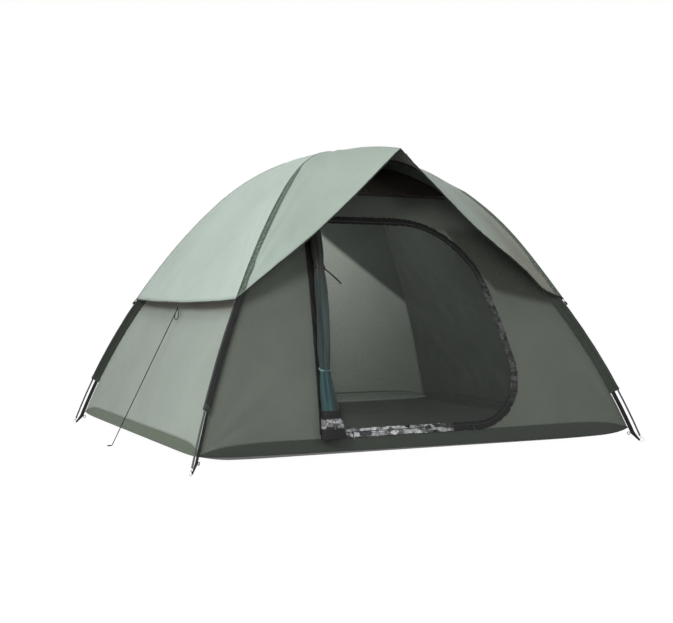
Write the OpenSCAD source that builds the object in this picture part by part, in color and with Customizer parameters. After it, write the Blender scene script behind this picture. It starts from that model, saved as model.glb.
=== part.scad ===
// Two-pole dome tent with a half-height rain fly. Millimetres, +Z up.
// The origin is on the ground below the pole crossing, and the door faces -Y.

/* [Footprint and height] */
// Distance between the pole ends across the front
foot_w = 2100; // [1900:10:2400]
// Distance between the pole ends from front to rear
foot_d = 1840; // [1650:10:2100]
// Height of the lower pole's centre line at the crossing
peak_h = 1320; // [1250:2:1400]

/* [Crossing poles] */
// Outer diameter of the glass-fibre poles
pole_d = 8; // [7:0.5:9]
// Bore of the poles, for the shock cord
pole_bore = 5; // [4.5:0.25:5.5]
// Diameter of the shock cord
shock_cord_d = 2.5; // [2:0.25:3.5]
// Number of sections in each leg of a crossing pole, besides the crown section
leg_sections = 3; // [2:1:4]
// Angle of a pole to the ground at its ends
tip_angle = 67; // [66:0.5:69]
// Angle at which a pole's leg curve meets its crown curve
crown_angle = 40; // [38:0.5:42]
// Wall of a ferrule
ferrule_wall = 1; // [0.6:0.1:1.4]
// Length of a ferrule
ferrule_len = 50; // [40:2:52]

/* [Cloth] */
// Thickness that stands for cloth and its hems
cloth = 1.5; // [1:0.25:2]
// Thickness of the webbing
webbing = 2; // [1.5:0.25:2.5]
// Width of a pole sleeve's flat web, from the pole's axis to the wall seam
sleeve_web = 34.5; // [28:0.5:42]
// Height at which a pole sleeve ends
sleeve_end_h = 232; // [190:2:280]
// Height of the seam between the cloth walls and the mesh roof
wall_top_h = 1110; // [1080:5:1150]
// Height of the seam between the walls and the groundsheet, at the middle of a side
seam_h = 98; // [88:1:110]
// Height of that seam at the corners
corner_h = 66; // [56:1:76]
// Height of the groundsheet's lower edge at the middle of a side
edge_h = 54; // [40:1:70]

/* [Corner fittings] */
// Width of the corner straps
strap_w = 18; // [14:1:20]
// Radius of a corner ring, to the middle of its wire
ring_r = 10; // [9:0.5:11]
// Diameter of the corner ring's wire
ring_wire = 2.6; // [2:0.2:3]
// Length of a tip pin inside its pole
pin_len = 40; // [30:5:45]
// Length of a tip pin's shank that shows below its pole
pin_shank = 3; // [2:0.5:6]
// Radius of a peg loop, to the middle of its cord
peg_loop_r = 6; // [5:0.5:8]

/* [Door] */
// Height of the door's sill
sill_h = 104; // [100:1:120]
// Height of the door's top edge
door_top_h = 990; // [950:5:1020]
// Distance of the sewn edge from the middle of the wall, at the sill
sewn_low = 500; // [470:5:540]
// The same at the top
sewn_high = 385; // [360:5:400]
// Radius of the upper corner
upper_corner_r = 345; // [300:5:380]
// Place of the upper corner's centre, to the right of the middle
upper_corner_x = 78; // [60:2:100]
// Radius of the lower corner
lower_corner_r = 250; // [220:5:270]
// Place of the lower corner's centre, to the right of the middle
lower_corner_x = 212; // [190:2:230]
// Width of each half of the zip's tape
tape_w = 12; // [11:0.5:16]
// Distance of the mesh's fold from the middle of the wall, at the sill
fold_low = 405; // [395:5:420]
// The same at the top
fold_high = 335; // [325:5:345]

/* [Rolled door] */
// Radius of the rolled cloth door
roll_r = 28; // [25:1:31]
// Radius of the roll under its two ties
roll_tie_r = 22; // [19:1:24]
// Half width of the roll's flared lower end
roll_flare = 42; // [36:1:44]
// Height of the upper tie
upper_tie_h = 774; // [700:5:840]
// Height of the lower tie
lower_tie_h = 364; // [300:5:420]

/* [Fly] */
// Height of the fly's corners
hem_h = 640; // [600:5:680]
// How far the side hems hang below the corners at their middle
hem_sag = 18; // [0:2:40]
// Width of the side hems
hem_w = 18; // [12:1:25]
// Reach of the brow in front of the pole crossing
brow_reach = 598; // [560:2:640]
// Drop of the ridge pole from the crossing to its end
ridge_drop = 58; // [40:2:80]
// Diameter of the binding on the brow's edges
binding_d = 5; // [4:0.5:6]
// Length of the fly's corner toggles
toggle_len = 20; // [16:1:26]
// Diameter of the fly's corner toggles
toggle_d = 9; // [7:0.5:10]

/* [Hidden] */

// Clearances
stitch_gap = 0.4;      // between two sewn pieces of one body
body_gap = 0.5;        // between pieces that move apart
ferrule_fit = 0.25;    // a ferrule around its pole
sleeve_fit = 1;        // a sleeve around the ferrules
ring_eye_fit = 1.1;    // the corner ring in a pin's eye

// The corner ring stands on the ground, a pin's eye hangs on its top, and the pole stands on the pin
ring_wire_r = ring_wire / 2;
ring_h = ring_r + ring_wire_r;
eye_wire_r = 1.2;
eye_r = ring_wire_r + ring_eye_fit + eye_wire_r;
eye_drop = eye_r + eye_wire_r + pin_shank;
tip_lift = ring_h + (ring_r + eye_drop) * sin(tip_angle);

// The poles' curve: a leg arc and a crown arc, tangent to each other, in a corner's vertical plane
half_diag = norm([foot_w, foot_d]) / 2;
share_x = foot_w / 2 / half_diag;
share_y = foot_d / 2 / half_diag;
pole_lap = pole_d + body_gap * 2;
fly_rise = pole_lap;
// Pole B passes over pole A, so its curve rises higher
function rise_at(sx, sy) = sx * sy > 0 ? 0 : pole_lap;

function curve_sums(rise) = [
    sin(tip_angle) - sin(crown_angle),
    sin(crown_angle),
    cos(crown_angle) - cos(tip_angle),
    1 - cos(crown_angle),
    peak_h + rise - tip_lift
];
function leg_radius(rise) =
    let (c = curve_sums(rise))
    (half_diag * c[3] - c[1] * c[4]) / (c[0] * c[3] - c[1] * c[2]);
function crown_radius(rise) =
    let (c = curve_sums(rise))
    (c[0] * c[4] - half_diag * c[2]) / (c[0] * c[3] - c[1] * c[2]);
// Distance from the tent's axis, and height, where the curve's slope is phi and its offset is e
function curve_r(phi, e = 0, rise = 0) =
    phi <= crown_angle
    ? (crown_radius(rise) + e) * sin(phi)
    : (crown_radius(rise) - leg_radius(rise)) * sin(crown_angle) + (leg_radius(rise) + e) * sin(phi);
function curve_z(phi, e = 0, rise = 0) =
    let (crown_z = peak_h + rise - crown_radius(rise))
    phi <= crown_angle
    ? crown_z + (crown_radius(rise) + e) * cos(phi)
    : crown_z + (crown_radius(rise) - leg_radius(rise)) * cos(crown_angle)
        + (leg_radius(rise) + e) * cos(phi);
// Slope of the offset curve at a height
function phi_at(z, e = 0, rise = 0) =
    z > curve_z(crown_angle, e, rise)
    ? acos(1 - (peak_h + rise + e - z) / (crown_radius(rise) + e))
    : acos(cos(crown_angle) - (curve_z(crown_angle, e, rise) - z) / (leg_radius(rise) + e));
// Length along the curve from the crossing, and the slope at a length
function rad(a) = a * PI / 180;
function deg(a) = a * 180 / PI;
function crown_len(rise) = crown_radius(rise) * rad(crown_angle);
function half_len(rise) = crown_len(rise) + leg_radius(rise) * rad(tip_angle - crown_angle);
function phi_of_len(s, rise) =
    abs(s) <= crown_len(rise)
    ? deg(s / crown_radius(rise))
    : sign(s) * (crown_angle + deg((abs(s) - crown_len(rise)) / leg_radius(rise)));

pole_r = pole_d / 2;
ferrule_r = pole_r + ferrule_fit + ferrule_wall;
sleeve_r = ferrule_r + sleeve_fit;
wall_e = -(sleeve_web + stitch_gap);
fly_e = sleeve_r + cloth + body_gap * 6 + cloth;

// The seam line between walls and groundsheet: level along a side, and falling to the corners
corner_fall = 12;
function fall(f) = 1 - pow(min(abs(f), 1), corner_fall);
function seam_z(f) = corner_h + (seam_h - corner_h) * fall(f);
edge_corner_drop = 4;
function edge_z(f) = corner_h - edge_corner_drop + (edge_h - corner_h + edge_corner_drop) * fall(f);

// The door's outline, in the distance to the right of the middle and the height
sewn_lean = atan2(sewn_low - sewn_high, door_top_h - sill_h);
upper_centre = [upper_corner_x, door_top_h - upper_corner_r];
lower_centre = [lower_corner_x, sill_h + lower_corner_r];
centre_step = upper_centre - lower_centre;
side_normal = atan2(centre_step.y, centre_step.x)
    - acos((lower_corner_r - upper_corner_r) / norm(centre_step));
corner_steps = 10;
function sewn_x(z, inset) =
    -sewn_low + (z - sill_h) * tan(sewn_lean) + inset / cos(sewn_lean);
function door_outline(inset) = concat(
    [[sewn_x(sill_h + inset, inset), sill_h + inset]],
    [[sewn_x(door_top_h - inset, inset), door_top_h - inset]],
    [for (i = [0:corner_steps])
        let (a = 90 + (side_normal - 90) * i / corner_steps)
        upper_centre + (upper_corner_r - inset) * [cos(a), sin(a)]],
    [for (i = [0:corner_steps])
        let (a = side_normal + (-90 - side_normal) * i / corner_steps)
        lower_centre + (lower_corner_r - inset) * [cos(a), sin(a)]]
);
// The mesh door folds along a slanted line, to the right of the rolled door
function fold_x(z) = -fold_low + (fold_low - fold_high) * (z - sill_h) / (door_top_h - sill_h);
fold_margin = 14;
zip_past_fold = 20;
zip_gap = 1.3;

// The ridge pole arches over the crossing from brow to brow
ridge_h = peak_h + pole_lap + pole_d + webbing + body_gap + stitch_gap * 2;
ridge_radius = (pow(brow_reach, 2) + pow(ridge_drop, 2)) / (2 * ridge_drop);
ridge_angle = asin(brow_reach / ridge_radius);
ridge_sections = 3;
ridge_cover = ferrule_r + stitch_gap + cloth;
hem_phi = phi_at(hem_h, fly_e, fly_rise);

skin_steps = 20;
tape_lift = 1.8;
far = 4000;

// ---- Shapes that repeat ----

function along(a, b, t) = a + (b - a) * t;

module toward(sx, sy)
    rotate([0, 0, atan2(sy * foot_d, sx * foot_w)])
        children();

// Carries a flat profile along an arc in the XZ plane. Its x points outwards.
module arc_sweep(centre, radius, from_phi, to_phi)
    translate([centre.x, 0, centre.y])
        rotate([90, 0, 0])
            rotate([0, 0, 90 - to_phi])
                rotate_extrude(angle = to_phi - from_phi, $fn = 96)
                    translate([radius, 0])
                        children();

module leg_sweep(from_phi, to_phi, rise)
    arc_sweep(
        [
            (crown_radius(rise) - leg_radius(rise)) * sin(crown_angle),
            peak_h + rise - crown_radius(rise)
                + (crown_radius(rise) - leg_radius(rise)) * cos(crown_angle)
        ],
        leg_radius(rise), from_phi, to_phi
    )
        children();

// Carries a flat profile along the poles' curve, between two slopes
module pole_sweep(from_phi, to_phi, rise = 0) {
    crown_from = max(from_phi, -crown_angle);
    crown_to = min(to_phi, crown_angle);
    if (crown_to > crown_from)
        arc_sweep([0, peak_h + rise - crown_radius(rise)], crown_radius(rise), crown_from, crown_to)
            children();
    if (to_phi > crown_angle)
        leg_sweep(max(from_phi, crown_angle), to_phi, rise)
            children();
    if (from_phi < -crown_angle)
        mirror([1, 0, 0])
            leg_sweep(max(-to_phi, crown_angle), -from_phi, rise)
                children();
}

// The bore starts half a turn round from the outside, so that no two seams line up
module washer(outer, inner)
    difference() {
        circle(outer, $fn = 48);
        rotate(180)
            circle(inner, $fn = 48);
    }

// A cloth side that faces +X: straight across, and curved like the poles from top to bottom
module skin(share, e, thick, from_phi, to_phi, rise = 0)
    rotate([90, 0, 0])
        linear_extrude(far, center = true)
            polygon(concat(
                [for (i = [0:skin_steps])
                    let (a = from_phi + (to_phi - from_phi) * i / skin_steps)
                    [share * curve_r(a, e, rise), curve_z(a, e, rise)]],
                [for (i = [skin_steps:-1:0])
                    let (a = from_phi + (to_phi - from_phi) * i / skin_steps)
                    [share * curve_r(a, e - thick, rise), curve_z(a, e - thick, rise)]]
            ));

// The quarter of the plan that faces +X, between the two diagonals
module quarter(share, other, gap)
    translate([gap / sin(atan2(other, share)), 0, 0])
        linear_extrude(far, center = true)
            polygon([[0, 0], [share * far, -other * far], [share * far, other * far]]);

// Turns a flat outline of distance and height into a cutter along X
module through_wall()
    rotate([90, 0, 90])
        linear_extrude(far)
            children();

module wall_outline(other) {
    reach = other * curve_r(phi_at(corner_h, wall_e), wall_e) + cloth;
    polygon(concat(
        [for (f = [-1:0.05:1.001]) [f * reach, seam_z(f)]],
        [[reach, wall_top_h], [-reach, wall_top_h]]
    ));
}

module wall(share, other)
    intersection() {
        skin(share, wall_e, cloth, phi_at(wall_top_h + seam_h, wall_e), tip_angle);
        quarter(share, other, stitch_gap / 2);
        through_wall() wall_outline(other);
    }

// A piece of the front wall's surface inside a flat outline
module front_piece(e = wall_e, thick = cloth)
    rotate([0, 0, -90])
        intersection() {
            skin(share_y, e, thick, phi_at(wall_top_h, wall_e), tip_angle);
            through_wall() children();
        }

module door_shape(inset)
    polygon(door_outline(inset));

module right_of_fold(margin)
    polygon([
        [fold_x(0) + margin, 0], [far, 0],
        [far, wall_top_h], [fold_x(wall_top_h) + margin, wall_top_h]
    ]);

// Stands children on the front wall: local y points up the wall and local z outwards
module on_front(x, z, e = wall_e) {
    phi = phi_at(z, e);
    translate([x, -share_y * curve_r(phi, e), z])
        rotate([90 - atan2(share_y * cos(phi), sin(phi)), 0, 0])
            children();
}

// A closed sheet over a rule for its outer points, with its thickness inwards
function patch_normal(rule, s, t) =
    let (d = 0.02)
    let (n = cross(rule(s, t + d) - rule(s, t - d), rule(s + d, t) - rule(s - d, t)))
    n / norm(n);
function grid_index(side, i, j, rows, cols) = side * (rows + 1) * (cols + 1) + i * (cols + 1) + j;
module patch(rule, from_s, rows, cols, thick) {
    points = [for (side = [0:1]) for (i = [0:rows]) for (j = [0:cols])
        let (s = from_s + (1 - from_s) * i / rows)
        let (t = j / cols)
        rule(s, t) - side * thick * patch_normal(rule, s, t)];
    function at(side, i, j) = grid_index(side, i, j, rows, cols);
    faces = concat(
        [for (i = [0:rows - 1]) for (j = [0:cols - 1]) [at(0, i, j), at(0, i + 1, j), at(0, i, j + 1)]],
        [for (i = [0:rows - 1]) for (j = [0:cols - 1])
            [at(0, i, j + 1), at(0, i + 1, j), at(0, i + 1, j + 1)]],
        [for (i = [0:rows - 1]) for (j = [0:cols - 1]) [at(1, i, j), at(1, i, j + 1), at(1, i + 1, j)]],
        [for (i = [0:rows - 1]) for (j = [0:cols - 1])
            [at(1, i, j + 1), at(1, i + 1, j + 1), at(1, i + 1, j)]],
        [for (i = [0:rows - 1]) [at(0, i, 0), at(1, i, 0), at(0, i + 1, 0)]],
        [for (i = [0:rows - 1]) [at(0, i + 1, 0), at(1, i, 0), at(1, i + 1, 0)]],
        [for (i = [0:rows - 1]) [at(0, i, cols), at(0, i + 1, cols), at(1, i, cols)]],
        [for (i = [0:rows - 1]) [at(0, i + 1, cols), at(1, i + 1, cols), at(1, i, cols)]],
        [for (j = [0:cols - 1]) [at(0, 0, j), at(0, 0, j + 1), at(1, 0, j)]],
        [for (j = [0:cols - 1]) [at(0, 0, j + 1), at(1, 0, j + 1), at(1, 0, j)]],
        [for (j = [0:cols - 1]) [at(0, rows, j), at(1, rows, j), at(0, rows, j + 1)]],
        [for (j = [0:cols - 1]) [at(0, rows, j + 1), at(1, rows, j), at(1, rows, j + 1)]]
    );
    polyhedron(points, faces);
}

// A closed tube through rings of points, with fans at both ends
module tube(rings) {
    sides = len(rings[0]);
    last = len(rings) - 1;
    points = [for (ring = rings) each ring];
    function at(i, k) = i * sides + k % sides;
    faces = concat(
        [for (i = [0:last - 1]) for (k = [0:sides - 1]) [at(i, k), at(i, k + 1), at(i + 1, k)]],
        [for (i = [0:last - 1]) for (k = [0:sides - 1]) [at(i, k + 1), at(i + 1, k + 1), at(i + 1, k)]],
        [for (k = [1:sides - 2]) [at(0, 0), at(0, k + 1), at(0, k)]],
        [for (k = [1:sides - 2]) [at(last, 0), at(last, k), at(last, k + 1)]]
    );
    polyhedron(points, faces);
}

// ---- Inner tent ----

side_steps = 16;
floor_rings = 3;
floor_slope = 0.38;
// One ring of the groundsheet, counter-clockwise: q scales it in plan, drop runs down the sag
function sheet_ring(q, z_of, lift) = [
    for (side = [0:3]) for (i = [0:side_steps - 1])
        let (f = -1 + 2 * i / side_steps)
        let (z = z_of(f))
        let (r = curve_r(phi_at(z, wall_e), wall_e) * q)
        let (p = [[f, -1], [1, f], [-f, 1], [-1, -f]][side])
        [p.x * r * share_x, p.y * r * share_y, z + lift]
];
function sheet_rings(inwards, lift) = concat(
    [sheet_ring(1 - inwards, function (f) seam_z(f) - stitch_gap, 0)],
    [sheet_ring(1 - inwards * 2, function (f) edge_z(f), 0)],
    [for (i = [1:floor_rings])
        [for (p = sheet_ring(1 - inwards - floor_slope * i / floor_rings, function (f) edge_z(f), lift))
            [p.x, p.y, lift + (p.z - lift) * pow(1 - i / floor_rings, 2)]]]
);
module groundsheet() {
    turn = cloth / half_diag;
    rings = concat(sheet_rings(0, 0), [for (i = [floor_rings + 1:-1:0]) sheet_rings(turn, cloth)[i]]);
    count = side_steps * 4;
    points = concat([for (ring = rings) each ring], [[0, 0, 0], [0, 0, cloth]]);
    under = floor_rings + 1;
    function at(i, k) = i * count + k % count;
    around = [0:count - 1];
    color("#4f5a49")
        polyhedron(points, concat(
            [for (i = [0:under - 1]) for (k = around) [at(i, k), at(i + 1, k), at(i, k + 1)]],
            [for (i = [0:under - 1]) for (k = around) [at(i, k + 1), at(i + 1, k), at(i + 1, k + 1)]],
            [for (i = [under + 1:2 * under]) for (k = around) [at(i, k), at(i + 1, k), at(i, k + 1)]],
            [for (i = [under + 1:2 * under]) for (k = around)
                [at(i, k + 1), at(i + 1, k), at(i + 1, k + 1)]],
            [for (k = around) [at(2 * under + 1, k), at(0, k), at(2 * under + 1, k + 1)]],
            [for (k = around) [at(2 * under + 1, k + 1), at(0, k), at(0, k + 1)]],
            [for (k = around) [at(under, k), len(points) - 2, at(under, k + 1)]],
            [for (k = around) [at(under + 1, k + 1), len(points) - 1, at(under + 1, k)]]
        ));
}

module front_wall()
    color("#5f665c")
        difference() {
            rotate([0, 0, -90]) wall(share_y, share_x);
            rotate([0, 0, -90]) through_wall() door_shape(0);
        }

module rear_wall()
    color("#5f665c") rotate([0, 0, 90]) wall(share_y, share_x);

module left_wall()
    color("#98a396") rotate([0, 0, 180]) wall(share_x, share_y);

module right_wall()
    color("#98a396") wall(share_x, share_y);

module roof_quarter(share, other)
    intersection() {
        skin(share, wall_e, cloth, 0, phi_at(wall_top_h - seam_h, wall_e));
        quarter(share, other, stitch_gap / 2);
        translate([0, -far / 2, wall_top_h + stitch_gap])
            cube(far);
    }

module roof_mesh()
    color("#3a3732") {
        for (a = [0, 180]) rotate([0, 0, a]) roof_quarter(share_x, share_y);
        for (a = [90, 270]) rotate([0, 0, a]) roof_quarter(share_y, share_x);
    }

// ---- Pole sleeves and corner fittings ----

// A sleeve is sewn in two lengths: a channel round the pole, and a double web to the wall seam
sleeve_start = 120;
module sleeve_profile()
    difference() {
        union() {
            circle(sleeve_r + cloth, $fn = 48);
            translate([-sleeve_web, -cloth])
                square([sleeve_web, cloth * 2]);
        }
        circle(sleeve_r, $fn = 48);
    }

module pole_sleeve(sx, sy) {
    rise = rise_at(sx, sy);
    crown_end = crown_angle - deg(stitch_gap / crown_radius(rise));
    color("#3b4038")
        toward(sx, sy) {
            pole_sweep(phi_of_len(sleeve_start, rise), crown_end, rise) sleeve_profile();
            pole_sweep(crown_angle, phi_at(sleeve_end_h, 0, rise), rise) sleeve_profile();
        }
}

// The corner ring lies in the corner's vertical plane, and a strap is hitched round its inner side
up_dir = [-cos(tip_angle), sin(tip_angle)];
eye_centre = [half_diag, tip_lift] - up_dir * eye_drop;
ring_centre = eye_centre - up_dir * ring_r;
hitch_fit = 0.5;
hitch_from = 150;
hitch_to = 210;
strap_low_h = 48;
strap_lap = 2;
strap_in = sleeve_web - cloth;
strap_out = strap_in - strap_w;
function curve_point(h, e, rise) =
    [curve_r(phi_at(h, 0, rise), -e, rise), curve_z(phi_at(h, 0, rise), -e, rise)];
function about_ring(r, a) = ring_centre + r * [cos(a), sin(a)];

module strap(sx, sy) {
    rise = rise_at(sx, sy);
    join_r = ring_wire_r + hitch_fit + webbing / 2;
    color("#181a19")
        toward(sx, sy) {
            pole_sweep(
                phi_at(sleeve_end_h, 0, rise) + deg(stitch_gap / leg_radius(rise)),
                phi_at(strap_low_h, 0, rise), rise
            )
                translate([-strap_in, -webbing / 2])
                    square([strap_w, webbing]);
            rotate([90, 0, 0])
                linear_extrude(webbing, center = true)
                    polygon([
                        curve_point(strap_low_h + strap_lap, strap_out, rise),
                        curve_point(strap_low_h + strap_lap, strap_in, rise),
                        about_ring(ring_r + join_r, hitch_to),
                        about_ring(ring_r + join_r, (hitch_from + hitch_to) / 2),
                        about_ring(ring_r + join_r, hitch_from)
                    ]);
            translate([ring_centre.x, 0, ring_centre.y])
                rotate([90, 0, 0])
                    rotate([0, 0, hitch_from])
                        rotate_extrude(angle = hitch_to - hitch_from, $fn = 72)
                            translate([ring_r, 0])
                                washer(ring_wire_r + hitch_fit + webbing, ring_wire_r + hitch_fit);
        }
}

module at_corners()
    for (sx = [-1, 1], sy = [-1, 1])
        toward(sx, sy)
            children();

module corner_rings()
    color("#c9cbcc")
        at_corners()
            translate([ring_centre.x, 0, ring_centre.y])
                rotate([90, 0, 0])
                    rotate_extrude($fn = 72)
                        translate([ring_r, 0])
                            circle(ring_wire_r, $fn = 24);

module tip_pins()
    color("#b9bcbd")
        at_corners()
            translate([eye_centre.x, 0, eye_centre.y])
                rotate([0, tip_angle - 90, 0]) {
                    translate([0, 0, eye_r])
                        cylinder(h = eye_drop - eye_r + pin_len, r = pole_bore / 2 - body_gap, $fn = 32);
                    rotate([0, 90, 0])
                        rotate_extrude($fn = 48)
                            translate([eye_r, 0])
                                circle(eye_wire_r, $fn = 24);
                }

peg_cord = 3;
module peg_loops()
    color("#181a19")
        for (sx = [-1, 1], sy = [-1, 1]) {
            seat = peg_loop_r + peg_cord / 2 + stitch_gap;
            centre = curve_point(strap_low_h + peg_loop_r, strap_in + seat, rise_at(sx, sy));
            toward(sx, sy)
                translate([centre.x, 0, centre.y])
                    rotate([90, 0, 0])
                        rotate_extrude($fn = 48)
                            translate([peg_loop_r, 0])
                                circle(peg_cord / 2, $fn = 24);
        }

// ---- Crossing poles ----

module pole_turn(sy)
    rotate([0, 0, atan2(sy * foot_d, foot_w)])
        children();

// A leg's sections part at equal steps of its arc, and the crown section is one arc
function leg_phi(i) = crown_angle + (tip_angle - crown_angle) * i / leg_sections;

module pole(rise) {
    gap_phi = deg(stitch_gap / 2 / leg_radius(rise));
    crown_gap_phi = deg(stitch_gap / 2 / crown_radius(rise));
    pole_sweep(crown_gap_phi - crown_angle, crown_angle - crown_gap_phi, rise)
        washer(pole_r, pole_bore / 2);
    for (side = [0:1], i = [1:leg_sections])
        mirror([side, 0, 0])
            leg_sweep(leg_phi(i - 1) + gap_phi, leg_phi(i) - (i < leg_sections ? gap_phi : 0), rise)
                washer(pole_r, pole_bore / 2);
}

// The ferrule between crown and leg bends by the mean of their curvatures
module bent_ferrule(rise) {
    radius = 2 / (1 / crown_radius(rise) + 1 / leg_radius(rise));
    half_phi = deg(ferrule_len / 2 / radius);
    arc_sweep(
        [
            curve_r(crown_angle, -radius, rise),
            curve_z(crown_angle, -radius, rise)
        ],
        radius, crown_angle - half_phi, crown_angle + half_phi
    )
        washer(ferrule_r, pole_r + ferrule_fit);
}

module ferrules(rise) {
    half_phi = deg(ferrule_len / 2 / leg_radius(rise));
    for (side = [0:1])
        mirror([side, 0, 0]) {
            bent_ferrule(rise);
            for (i = [1:leg_sections - 1])
                leg_sweep(leg_phi(i) - half_phi, leg_phi(i) + half_phi, rise)
                    washer(ferrule_r, pole_r + ferrule_fit);
        }
}

cord_rings = 76;
cord_sides = 6;
function cord_ring(s, rise) =
    let (phi = phi_of_len(abs(s), rise))
    [for (k = [0:cord_sides - 1])
        let (a = 360 * k / cord_sides)
        let (e = shock_cord_d / 2 * cos(a))
        [sign(s) * curve_r(phi, e, rise), shock_cord_d / 2 * sin(a), curve_z(phi, e, rise)]];
module shock_cord(rise) {
    reach = half_len(rise) - pin_len - shock_cord_d * 2;
    tube([for (i = [0:cord_rings]) cord_ring(reach * (2 * i / cord_rings - 1), rise)]);
}

module pole_a()
    color("#35383a") pole_turn(1) pole(0);

module pole_a_ferrules()
    color("#b5b8ba") pole_turn(1) ferrules(0);

module pole_a_shock_cord()
    color("#161616") pole_turn(1) shock_cord(0);

module pole_b()
    color("#35383a") pole_turn(-1) pole(pole_lap);

module pole_b_ferrules()
    color("#b5b8ba") pole_turn(-1) ferrules(pole_lap);

module pole_b_shock_cord()
    color("#161616") pole_turn(-1) shock_cord(pole_lap);

// A webbing band holds the two poles together where they cross
tie_band = 8;
module crossing_tie() {
    inner_w = (pole_d / sin(atan2(foot_d, foot_w)) + tie_band * foot_w / foot_d) + body_gap * 2;
    inner_h = pole_d + pole_lap + body_gap;
    color("#181a19")
        translate([0, 0, peak_h + pole_lap / 2])
            rotate([90, 0, 0])
                linear_extrude(tie_band, center = true)
                    difference() {
                        square([inner_w + webbing * 2, inner_h + webbing * 2 - body_gap], center = true);
                        square([inner_w, inner_h - body_gap / 2], center = true);
                    }
}

lantern_loop_r = 12;
lantern_tab_len = 24;
module lantern_loop()
    color("#181a19")
        translate([0, 0, curve_z(0, wall_e - cloth) - stitch_gap - lantern_tab_len - lantern_loop_r]) {
            rotate([90, 0, 0])
                rotate_extrude($fn = 64)
                    translate([lantern_loop_r, 0])
                        square([webbing, tie_band], center = true);
            translate([-webbing, -tie_band / 2, lantern_loop_r])
                cube([webbing * 2, tie_band, lantern_tab_len]);
        }

// ---- Door ----

module zip_run(outer, inner)
    intersection() {
        difference() {
            door_shape(outer);
            door_shape(inner);
        }
        right_of_fold(-zip_past_fold);
    }

module door_zip_wall_tape()
    color("#1b1c1c") {
        front_piece() zip_run(stitch_gap, tape_w);
        front_piece(wall_e + tape_lift, tape_lift + cloth / 2) zip_run(tape_w - tape_lift, tape_w);
    }

module mesh_sewn_strip()
    color("#565c55")
        front_piece()
            difference() {
                door_shape(stitch_gap);
                right_of_fold(-stitch_gap);
                difference() {
                    right_of_fold(-zip_past_fold - stitch_gap);
                    door_shape(tape_w + stitch_gap);
                }
            }

module mesh_door_panel()
    color("#4a504c")
        front_piece()
            intersection() {
                door_shape(tape_w * 2 + stitch_gap);
                right_of_fold(fold_margin);
            }

module door_zip_mesh_tape()
    color("#1b1c1c")
        front_piece()
            intersection() {
                difference() {
                    door_shape(tape_w + zip_gap);
                    door_shape(tape_w * 2);
                }
                right_of_fold(fold_margin);
            }

slider_w = 9;
slider_len = 7;
slider_wall = 1.2;
slider_fit = 0.3;
web_lift = 0.4;
hinge_pin_r = 0.9;
hinge_pin_fit = 0.1;
hinge_pin_lift = tape_lift + slider_fit + slider_wall + body_gap + hinge_pin_r * 2;
slider_park_left = -372;
slider_park_right = 190;
pull_w = 3;
pull_len = 30;
module at_slider(x)
    on_front(x, sill_h + tape_w)
        children();

// The tapes' edges are level, so the slider's web between them slants in the wall's own frame
function slider_slant() =
    let (phi = phi_at(sill_h + tape_w, wall_e))
    share_y * cos(phi) / sin(phi);
module slider_side(low, high, back, front, slant)
    polygon([
        [-low, back], [high - back * slant, back],
        [high - front * slant, front], [-low, front]
    ]);

module zip_slider(x)
    color("#2a2c2d")
        at_slider(x) {
            back = -cloth - slider_fit - slider_wall;
            front = tape_lift + slider_fit + slider_wall;
            slant = slider_slant();
            rotate([90, 0, 90])
                linear_extrude(slider_w, center = true)
                    difference() {
                        slider_side(slider_len, web_lift + slider_wall / 2, back, front, slant);
                        slider_side(
                            slider_len * 2, web_lift, back + slider_wall, front - slider_wall, slant
                        );
                    }
            for (side = [-1, 1])
                translate([side * (pull_w / 2 + body_gap + slider_wall / 2), -slider_len / 2, 0])
                    translate([-slider_wall / 2, -slider_wall * 1.5, tape_lift + slider_fit])
                        cube([slider_wall, slider_wall * 3, hinge_pin_lift - tape_lift + hinge_pin_r]);
            translate([0, -slider_len / 2, hinge_pin_lift])
                rotate([0, 90, 0])
                    cylinder(h = pull_w + body_gap * 2 + slider_wall, r = hinge_pin_r, center = true, $fn = 32);
        }

module zip_pull(x)
    color("#202222")
        at_slider(x)
            translate([0, -slider_len / 2, hinge_pin_lift])
                difference() {
                    union() {
                        rotate([0, 90, 0])
                            cylinder(h = pull_w, r = hinge_pin_r * 2, center = true, $fn = 32);
                        translate([-pull_w / 2, -pull_len, -hinge_pin_r])
                            cube([pull_w, pull_len, hinge_pin_r * 2]);
                    }
                    rotate([0, 90, 0])
                        cylinder(h = pull_w * 2, r = hinge_pin_r + hinge_pin_fit, center = true, $fn = 32);
                }

// The rolled cloth door hangs beside the mesh, pinched at its ties and flared at its foot
roll_steps = 8;
roll_sides = 12;
roll_top_h = door_top_h - tape_w;
roll_overhang = 4;
roll_low_h = sill_h - roll_overhang;
tie_w = 8;
pinch_len = 45;
flare_len = 170;
roll_seat = 1.15;      // its distance from the sewn edge, in radii
roll_bow = 0.35;       // how much farther its middle hangs
flare_shift = 0.25;
function pinch(z, h) = (roll_r - roll_tie_r) * exp(-pow((z - h) / pinch_len, 2));
function flare(z) = pow(max(0, 1 - (z - roll_low_h) / flare_len), 1.5);
function roll_half_w(z) =
    roll_r - pinch(z, upper_tie_h) - pinch(z, lower_tie_h) + (roll_flare - roll_r) * flare(z);
function roll_half_d(z) =
    roll_r - pinch(z, upper_tie_h) - pinch(z, lower_tie_h) - (roll_flare - roll_r) / 3 * flare(z);
function roll_x(z) =
    let (t = (z - roll_low_h) / (roll_top_h - roll_low_h))
    sewn_x(z, 0) + roll_r * (roll_seat + roll_bow * sin(180 * t))
        + (roll_flare - roll_r) * flare_shift * flare(z);
function roll_centre(z) =
    [roll_x(z), -share_y * curve_r(phi_at(z, wall_e), wall_e) - roll_r - stitch_gap, z];
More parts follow.
